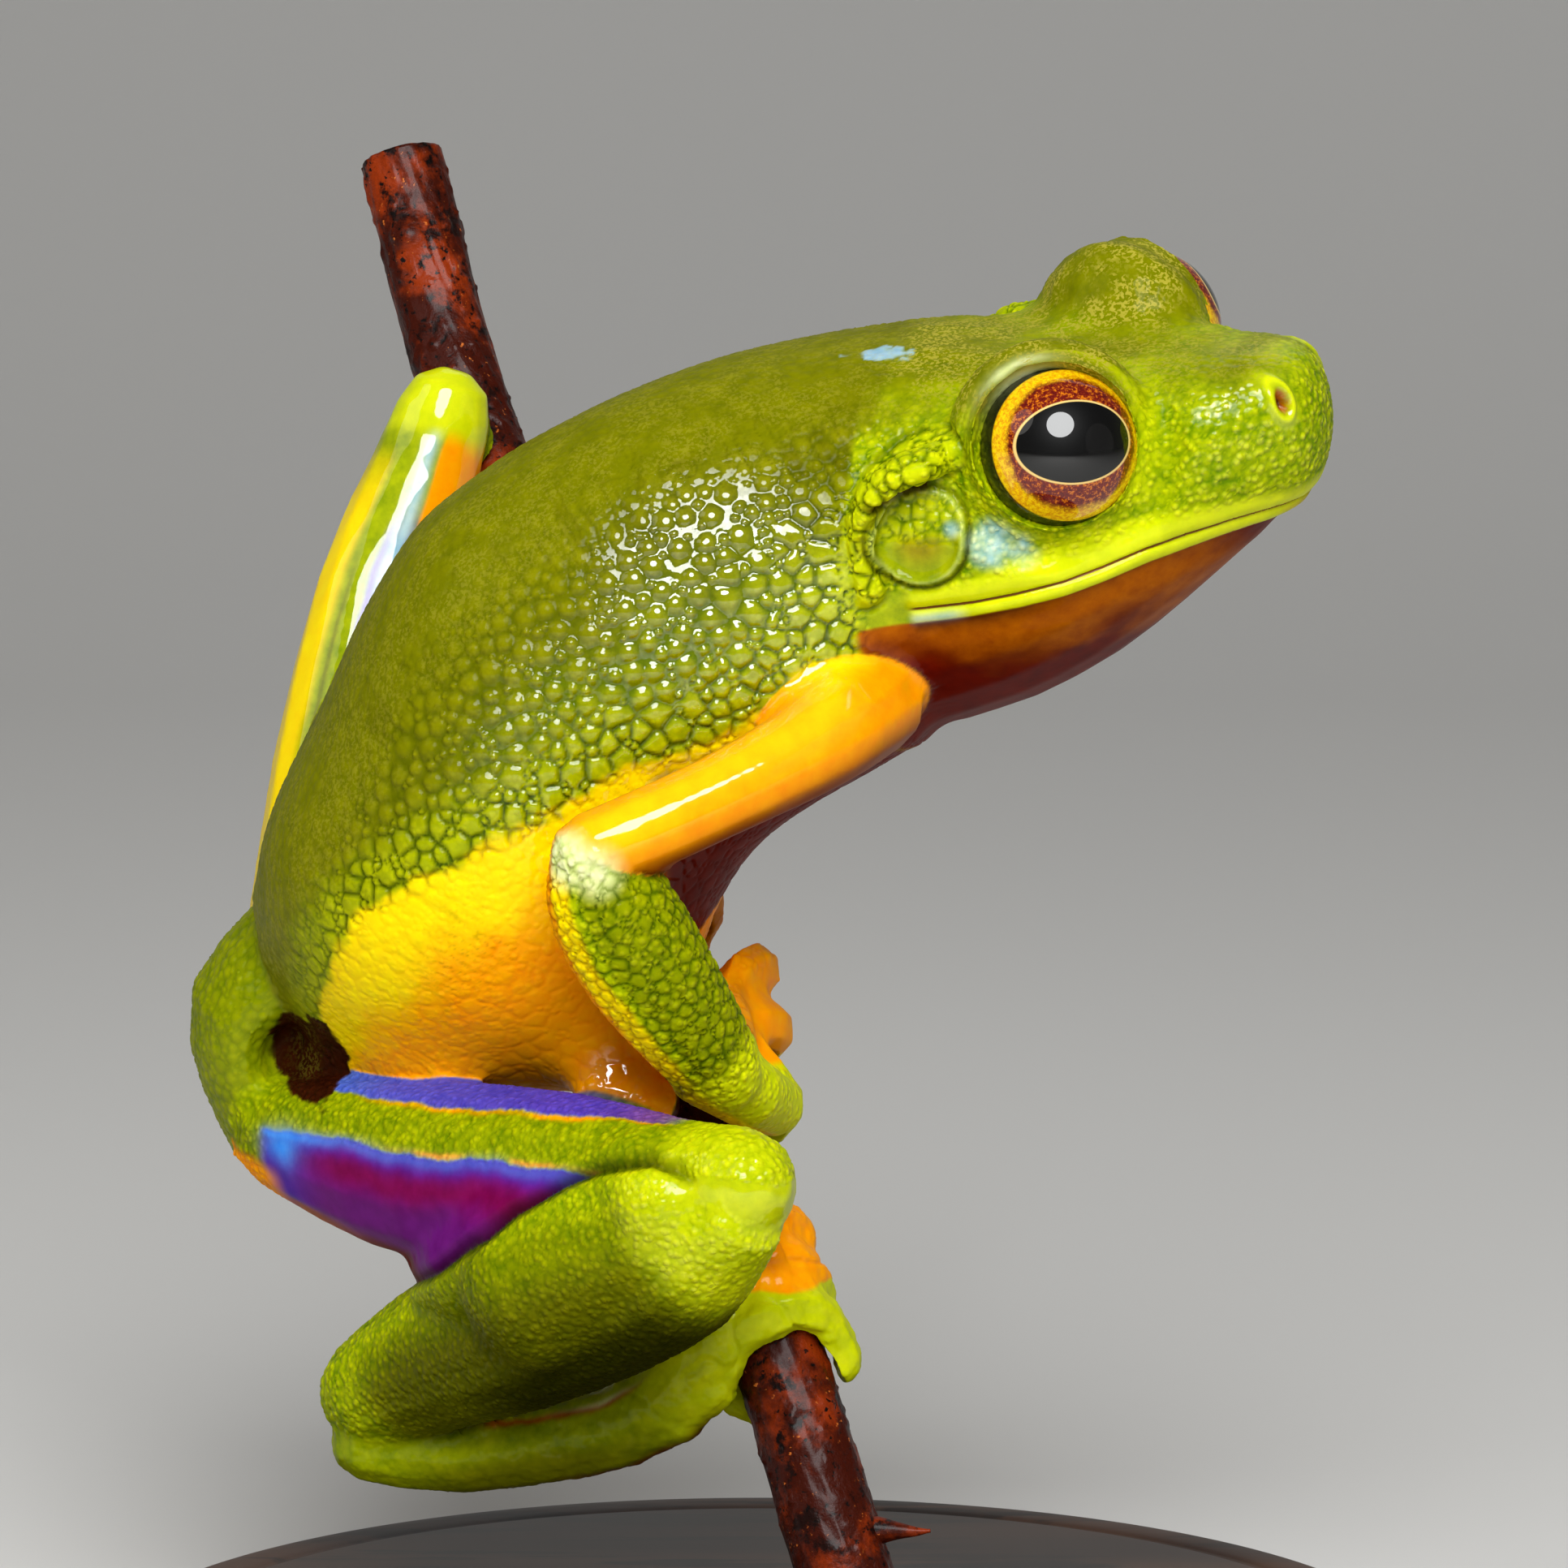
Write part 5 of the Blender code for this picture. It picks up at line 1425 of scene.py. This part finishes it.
def with_crease_shade(tree, colour, crease):
    """Painted shade in the creases, and a thin brown line where the lips meet."""
    creased = node(tree, "ShaderNodeMix", data_type="RGBA", blend_type="MULTIPLY")
    tree.links.new(crease, creased.inputs[0])
    tree.links.new(colour, creased.inputs[6])
    creased.inputs[7].default_value = CREASE_SHADE_TINT
    lip = math_node(tree, "ABSOLUTE", attribute(tree, "lip"))
    line = math_node(tree, "MULTIPLY", ramp(tree, lip, 0.06, 0.03), attribute(tree, "mouth"))
    return mix_colour(tree, line, creased.outputs[2], srgb(122, 70, 4))


def skin_material():
    """Painted granules and beads, rougher on the tips, under a wet coat that thins out in the creases."""
    made, tree, shader = new_material("frog_skin", SKIN_FINISH)
    link = tree.links.new
    place = object_place(tree)
    relief, crease, beaded = (attribute(tree, name) for name in ("relief", "crease", "fine"))
    beads = fine_beads(tree, place, beaded)
    colour = painted_skin(tree, granule_tips(tree, place, relief, beads, beaded))
    colour = with_specks(tree, place, colour)
    link(with_crease_shade(tree, colour, crease), shader.inputs["Base Color"])
    add_bump(tree, shader, beads, 1.0, 0.00004)
    shine = node(tree, "ShaderNodeMapRange")
    link(relief, shine.inputs["Value"])
    shine.inputs["To Min"].default_value = 0.36
    shine.inputs["To Max"].default_value = 0.5
    link(shine.outputs["Result"], shader.inputs["Roughness"])
    between = math_node(tree, "SUBTRACT", beaded, beads, clamp=True)
    drier = math_node(tree, "MULTIPLY_ADD", between, -0.9, 1.0)
    drier = math_node(tree, "MULTIPLY", drier, math_node(tree, "MULTIPLY_ADD", crease, -0.5, 1.0))
    link(math_node(tree, "MULTIPLY", attribute(tree, "wet"), drier), shader.inputs["Coat Weight"])
    return made


def eye_pull(points):
    """Draws the lids back and in, so that they hug the eyes."""
    moved = points.copy()
    for side, brow_rise in BROW_RISE.items():
        flip = np.array((1.0, side, 1.0))
        centre = from_head(EYE_CENTRE * flip)
        look = unit(EYE_LOOK * flip) @ HEAD_AXES
        out = moved - centre
        gap = np.linalg.norm(out, axis=1)
        near = np.nonzero(gap < LID_REACH)[0]
        out, gap = out[near], gap[near]
        ray = out / gap[:, None]
        ahead = np.clip(ray @ look, -1, 1)
        angle = np.degrees(np.arccos(ahead))
        aside = unit(ray - look * ahead[:, None])
        close = smooth_step(LID_REACH, LID_FULL, gap)
        new_angle = np.radians(angle + LID_TURN * smooth_step(104, 52, angle) * close)
        tucked = gap - LID_TUCK * smooth_step(84, 56, angle) * close
        new_gap = tucked + brow_rise * bell(angle, 96, 24) * close
        turned = look * np.cos(new_angle)[:, None] + aside * np.sin(new_angle)[:, None]
        moved[near] = centre + turned * new_gap[:, None]
    return moved + far_lid_shift(moved)


def far_lid_shift(points):
    """How far the skin round the far eye moves with it."""
    centre = from_head(EYE_CENTRE)
    reach = smooth_step(4.6, 2.4, np.linalg.norm(points - centre - (0.1, 0.0, 0.9), axis=1))
    reach *= smooth_step(-1.2, 1.2, points[:, 2] - centre[2])
    shift = reach[:, None] * FAR_LID_SHIFT
    shift[:, 0] *= 1.0 - FAR_LID_SQUEEZE * (points[:, 0] - centre[0])
    return shift


def build_skin():
    """The whole skin in one mesh: granules and folds as relief, and the markings as masks on its points."""
    mesh = skin_base()
    put_points(mesh, eye_pull(mesh_arrays(mesh)[0]))
    points, _ = mesh_arrays(mesh)
    normals = mesh_normals(mesh)
    body = Body(points)
    values = laid_over(markings(body))
    radius, height, packed = granule_sizes(body)
    centres, radii = scatter_granules(points, radius, height)
    domes, cushions = granule_relief(points, centres, radii)
    relief = domes + (cushions - domes) * packed
    joints, knee, lines = joint_creases(body), knee_crease(body), wrinkles(body)
    rise = feature_rise(body, joints, knee)
    rise += height * (relief - 0.35) - 0.03 * lines
    put_points(mesh, (points + normals * rise[:, None]) * MM)
    dark = crease_shade(body, joints, knee)
    between = (1.0 - cushions) * packed * smooth_step(0.03, 0.11, height)
    shown = smooth_step(0.0, 0.1, height)
    # The crease mask is painted shade: in joints, folds and grooves, on the calf, in the groin, between
    # packed granules and in the trunk's wrinkles
    values["crease"] = np.maximum(np.maximum(dark, 0.8 * between), 0.45 * lines)
    values["relief"] = 0.15 + 0.7 * (relief * shown + 0.5 * (1.0 - shown))
    values["wet"] = wetness(body)
    values["lip"] = np.clip(body.lip, -1.0, 1.0)
    values["mouth"] = body.mouth
    values["speckle"] = speckled(body)
    values["fine"] = finely_beaded(body)
    for name, value in values.items():
        mesh.attributes.new(name, "FLOAT", "POINT").data.foreach_set("value", value.astype(np.float32))
    mesh.shade_smooth()
    mesh.materials.clear()
    mesh.materials.append(skin_material())
    placed_piece("frog_skin", mesh, None, FLESH)


def speckled(body):
    """Where pale yellowish specks lie: thickest on top of the head, thin on the back."""
    made = body.skull * smooth_step(0.6, 2.2, body.up) * 0.9
    return blend_over(made, body.torso * smooth_step(40, 70, body.turn), 0.22)


def finely_beaded(body):
    """Where fine beads cover the skin: sides of the head, legs and forearms."""
    w = body.weight
    made = body.skull * smooth_step(1.6, 0.2, body.up) * smooth_step(0.4, 0.9, body.lip)
    made *= smooth_step(1.8, 2.6, body.nostril) * smooth_step(0.9, 1.2, body.ear)
    made += 0.4 * body.torso * smooth_step(80, 40, body.turn) * smooth_step(-20, 0, body.turn)
    place, turn = body.limbs["thigh_right"]
    bare = smooth_step(0.2, 0.6, place) * smooth_step(24, 18, turn)
    made += 0.8 * w["thigh_right"] * (1.0 - bare)
    made += 0.8 * (w["shank_right"] + w["shank_left"]) + w["forearm_right"] + w["forearm_left"]
    return np.clip(made, 0.0, 1.0)


def wetness(body):
    """How wet the skin looks: most on the flank and upper arms, least on the back."""
    w, torso, skull = body.weight, body.torso, body.skull
    layers = [
        (torso * smooth_step(24, 60, body.turn), 0.02),
        (torso * smooth_step(-26, -38, body.turn), 0.03),
        (torso * smooth_step(2.6, 3.4, body.trunk), 0.05),
        (torso * body.spot(DAMP_FLANK, 5.5, 0.5) * smooth_step(50, 34, body.turn), 0.5),
        (body.spot(WET_FLANK, 5.2, 0.5), 1.0),
        (skull, 0.14),
        (skull * smooth_step(0.6, 2.2, body.up), 0.03),
        (skull * smooth_step(-0.3, -0.6, body.lip), 0.03),
        (skull * smooth_step(3.4, 4.6, body.forward) * bell(body.up, 0.0, 1.6), 0.5),
    ]
    for side in ("right", "left"):
        arm_turn = body.limbs["upper_arm_" + side][1]
        layers.append((w["upper_arm_" + side], 0.08 + 0.45 * smooth_step(-20, 10, arm_turn)))
    layers += [
        (w["forearm_right"] + w["forearm_left"], 0.05),
        (w["shank_right"] + w["shank_left"], 0.03),
        (w["thigh_right"], 0.02),
        (w["thigh_right"] * smooth_step(4.2, 4.8, body.limbs["thigh_right"][0]), 0.4),
        (w["shank_right"] * smooth_step(0.9, 0.3, body.limbs["shank_right"][0]), 0.4),
        (w["thigh_left"], 0.5),
        (w["foot_right"] + w["pelvis"] + w["foot_left"], 0.08),
        (w["hand_right"] + w["hand_left"], 0.06),
        (body.spot(WET_WEB, 1.3, 0.6), 1.0),
        (body.groin, 0.01),
    ]
    wet = np.full(len(body.points), 0.12)
    for mask, amount in layers:
        wet = blend_over(wet, mask, amount)
    return wet


# Eyes.


def eye_material():
    """Black level pupil, thin pale ring, red-brown speckled iris, gold outer ring, and a dark rim that is
    partly the eye's dark edge and partly painted shade where the lids meet it.
    """
    made, tree, shader = new_material("frog_eye", {
        "Roughness": 0.45,
        "Specular IOR Level": 0.1,
        "Coat Weight": 1.0,
        "Coat Roughness": 0.015,
        "Coat IOR": 1.55,
    })
    place = object_place(tree)
    ray = node(tree, "ShaderNodeVectorMath", operation="NORMALIZE")
    tree.links.new(place, ray.inputs[0])
    parts = node(tree, "ShaderNodeSeparateXYZ")
    tree.links.new(ray.outputs[0], parts.inputs[0])
    along, across, ahead = parts.outputs
    wide = math_node(tree, "MULTIPLY", along, 1.0 / math.sin(math.radians(PUPIL_HALF_WIDTH)))
    tall = math_node(tree, "MULTIPLY", across, 1.0 / math.sin(math.radians(PUPIL_HALF_HEIGHT)))
    squares = math_node(tree, "ADD", math_node(tree, "MULTIPLY", wide, wide),
                        math_node(tree, "MULTIPLY", tall, tall))
    oval = math_node(tree, "SQRT", squares)
    angle = math_node(tree, "MULTIPLY", math_node(tree, "ARCCOSINE", ahead), 180.0 / math.pi)
    _, coarse = mottling(tree, place, 900.0, 4.0, 0.7)
    flecks, fine = mottling(tree, place, 8200.0, 3.0, 0.75, 0.5, 0.64)
    patch = math_node(tree, "ADD", math_node(tree, "MULTIPLY", coarse, 16.0), angle)
    brown = mix_colour(tree, flecks, srgb(112, 14, 1), srgb(214, 116, 4))
    dark = math_node(tree, "MULTIPLY", ramp(tree, fine, 0.46, 0.36), 0.7)
    brown = mix_colour(tree, dark, brown, srgb(60, 6, 1))
    gold = mix_colour(tree, ramp(tree, fine, 0.40, 0.60), srgb(228, 156, 2), srgb(255, 214, 6))
    iris = mix_colour(tree, ramp(tree, patch, 57.0, 65.0), brown, gold)
    ring = mix_colour(tree, ramp(tree, oval, 1.07, 1.04), iris, srgb(236, 200, 120))
    pupil = mix_colour(tree, ramp(tree, oval, 1.02, 1.0), ring, (0.0006, 0.0005, 0.0005, 1.0))
    # The dark rim: partly the eye's dark edge, partly painted shade where the lids meet the ball
    rim = mix_colour(tree, ramp(tree, angle, 66.0, 68.0), pupil, (0.003, 0.003, 0.002, 1.0))
    tree.links.new(rim, shader.inputs["Base Color"])
    return made


def eye_profile():
    """A ball with the clear front standing a little proud, from the pupil to the back, in metres."""
    profile = []
    for i in range(EYE_RINGS + 1):
        turn = math.pi * i / EYE_RINGS
        bulge = CORNEA_RISE * smooth_step(0.5, 1.0, math.cos(turn))
        radius = (EYE_RADIUS - EYE_INSET + bulge) * MM
        profile.append((radius * math.sin(turn) if 0 < i < EYE_RINGS else 0.0, radius * math.cos(turn)))
    return profile


def build_eyes():
    """Both eyes, each turned so that its pupil lies level."""
    finish = eye_material()
    for side, name in ((1, "left"), (-1, "right")):
        flip = np.array((1.0, side, 1.0))
        centre = Vector(from_head(EYE_CENTRE * flip) + (FAR_EYE_SHIFT if side > 0 else 0.0))
        look = Vector(unit(PUPIL_AXIS * flip) @ HEAD_AXES)
        level = Vector((np.array((math.cos(PUPIL_TILT), 0.0, math.sin(PUPIL_TILT))) @ HEAD_AXES))
        level = (level - look * level.dot(look)).normalized()
        matrix = Matrix((level, look.cross(level), look)).transposed().to_4x4()
        matrix.translation = centre * MM
        mesh = turned_mesh("eyeball_" + name, eye_profile(), EYE_SEGMENTS)
        mesh.materials.append(finish)
        placed_piece("eyeball_" + name, mesh, matrix, ("eye_" + name,))


# Twig.


def bark_material():
    """Red-brown bark with lighter patches, dark stains and small dark and pale specks."""
    made, tree, shader = new_material("twig_bark", {
        "Roughness": 0.45,
        "Specular IOR Level": 0.1,
        "Coat Weight": 0.12,
        "Coat Roughness": 0.16,
    })
    place = object_place(tree)
    patches, _ = mottling(tree, place, 420.0, 5.0, 0.65, 0.46, 0.64)
    stains, _ = mottling(tree, place, 900.0, 5.0, 0.7, 0.48, 0.38)
    dark_specks, specks = mottling(tree, place, 3600.0, 3.0, 0.6, 0.40, 0.33)
    bark = mix_colour(tree, patches, srgb(58, 13, 2), srgb(136, 44, 5))
    bark = mix_colour(tree, stains, bark, srgb(26, 6, 3))
    bark = mix_colour(tree, dark_specks, bark, srgb(10, 4, 3))
    bark = mix_colour(tree, ramp(tree, specks, 0.66, 0.74), bark, srgb(196, 104, 40))
    tree.links.new(bark, shader.inputs["Base Color"])
    add_bump(tree, shader, specks, 0.6, 0.00012)
    return made


def beside_twig(height, angle, distance):
    """A point beside the twig: angle 0 is its front, 90 its right side and 180 its back."""
    rows = np.array(TWIG_PATH)
    spot = np.array([np.interp(height, rows[:, 2], rows[:, k]) for k in range(3)])
    low = int(np.clip(np.searchsorted(rows[:, 2], height) - 1, 0, len(rows) - 2))
    along = unit(rows[low + 1] - rows[low])
    front = np.array((0.0, -1.0, 0.0))
    front = unit(front - along * (front @ along))
    right = np.cross(along, front)
    right *= np.sign(right[0])
    turn = math.radians(angle)
    return spot + (front * math.cos(turn) + right * math.sin(turn)) * distance


def build_thorn(finish):
    """A short curved thorn low on the right of the twig, with a sharp tip."""
    path = curved_path([beside_twig(*row) for row in THORN_LINE], 12)
    share = np.linspace(0, 1, len(path))
    radii = 0.06 + 0.62 * (1.0 - share) ** 1.4
    rings, _ = tube_points(path, radii, 24)
    mesh = closed_tube("thorn", rings * MM)
    mesh.materials.append(finish)
    placed_piece("thorn", mesh, None)


def build_twig():
    """The perch, with ridges along it, soft lumps, small warts and a knot."""
    finish = bark_material()
    path = curved_path(TWIG_PATH, TWIG_STEPS)
    radii = TWIG_RADII[0] + (TWIG_RADII[1] - TWIG_RADII[0]) * np.linspace(0, 1, len(path))
    rings, ways = tube_points(path, radii, TWIG_SIDES)
    flat, ways = rings.reshape(-1, 3), ways.reshape(-1, 3)
    along = np.repeat(np.arange(len(path)), TWIG_SIDES)[:, None] * 0.1
    ridges = soft_noise(ways * 3.0 + along * 0.25, 0.35, 21)
    lumps = rough_noise(flat, 1.3, 23)
    warts = np.clip(soft_noise(flat, 0.34, 29) - 0.35, 0, None)
    knot = bell(np.linalg.norm(flat - beside_twig(*TWIG_KNOT), axis=1), 0.0, 0.5)
    rise = 0.035 * ridges + 0.06 * lumps + 0.16 * warts + 0.3 * knot
    rings = (flat + ways * rise[:, None]).reshape(rings.shape)
    mesh = closed_tube("perch", rings * MM)
    mesh.materials.append(finish)
    placed_piece("perch", mesh, None, ("perch_twig",))
    build_thorn(finish)


# Stand.

def wood_material():
    """Dark wood, with figure and grain drawn out along x."""
    made, tree, shader = new_material("base_wood", {"Roughness": 0.42})
    stretch = node(tree, "ShaderNodeMapping")
    stretch.inputs["Scale"].default_value = (0.12, 1.0, 1.0)
    tree.links.new(object_place(tree), stretch.inputs["Vector"])
    place = stretch.outputs[0]
    figure, _ = mottling(tree, place, 160.0, 3.0, 0.5, 0.35, 0.65)
    pores, grain = mottling(tree, place, 900.0, 6.0, 0.6, 0.5, 0.4)
    wood = mix_colour(tree, figure, srgb(46, 30, 22), srgb(78, 52, 36))
    wood = mix_colour(tree, pores, wood, srgb(28, 18, 13))
    tree.links.new(wood, shader.inputs["Base Color"])
    add_bump(tree, shader, grain, 0.25, 0.00005)
    return made


def steel_material():
    """Plain steel, with a faintly uneven tone."""
    made, tree, shader = new_material("rod_steel", {"Metallic": 1.0, "Roughness": 0.3})
    _, uneven = mottling(tree, object_place(tree), 2500.0, 3.0, 0.6)
    tone = mix_colour(tree, uneven, (0.42, 0.42, 0.43, 1.0), (0.58, 0.58, 0.59, 1.0))
    tree.links.new(tone, shader.inputs["Base Color"])
    return made


def base_profile():
    """Half section of the base, with eased edges and a shallow groove in its top."""
    top, edge, outer = BASE_THICKNESS, BASE_EDGE, BASE_RADIUS
    inner = outer - edge
    turns = [math.pi / 2 * i / BASE_EDGE_STEPS for i in range(1, BASE_EDGE_STEPS)]
    profile = [(0.0, 0.0), (inner, 0.0)]
    profile += [(inner + edge * math.sin(turn), edge - edge * math.cos(turn)) for turn in turns]
    profile += [(outer, edge), (outer, top - edge)]
    profile += [(inner + edge * math.cos(turn), top - edge + edge * math.sin(turn)) for turn in turns]
    profile.append((inner, top))
    profile += [(inner - step, top - depth) for step, depth in BASE_GROOVE]
    profile.append((0.0, top))
    return profile


def build_base():
    profile = [(radius * MM, height * MM) for radius, height in base_profile()]
    mesh = turned_mesh("display_base", profile, BASE_SEGMENTS)
    mesh.materials.append(wood_material())
    placed_piece("display_base", mesh, None, ("stand_base",))


def build_rod():
    """The rod that holds the twig, in line with its foot and let a little into base and twig."""
    foot = np.array(TWIG_PATH[0])
    along = unit(np.array(TWIG_PATH[1]) - foot)
    low = foot - along * ((foot[2] - BASE_THICKNESS + 0.1) / along[2])
    high = foot + along * 0.4
    path = low + np.linspace(0, 1, ROD_STEPS)[:, None] * (high - low)
    rings, _ = tube_points(path, np.full(ROD_STEPS, ROD_RADIUS), ROD_SIDES)
    mesh = closed_tube("display_rod", rings * MM)
    mesh.materials.append(steel_material())
    placed_piece("display_rod", mesh, None, ("stand_rod",))


build_camera()
build_floor()
build_lights()
build_skin()
build_eyes()
build_twig()
build_base()
build_rod()
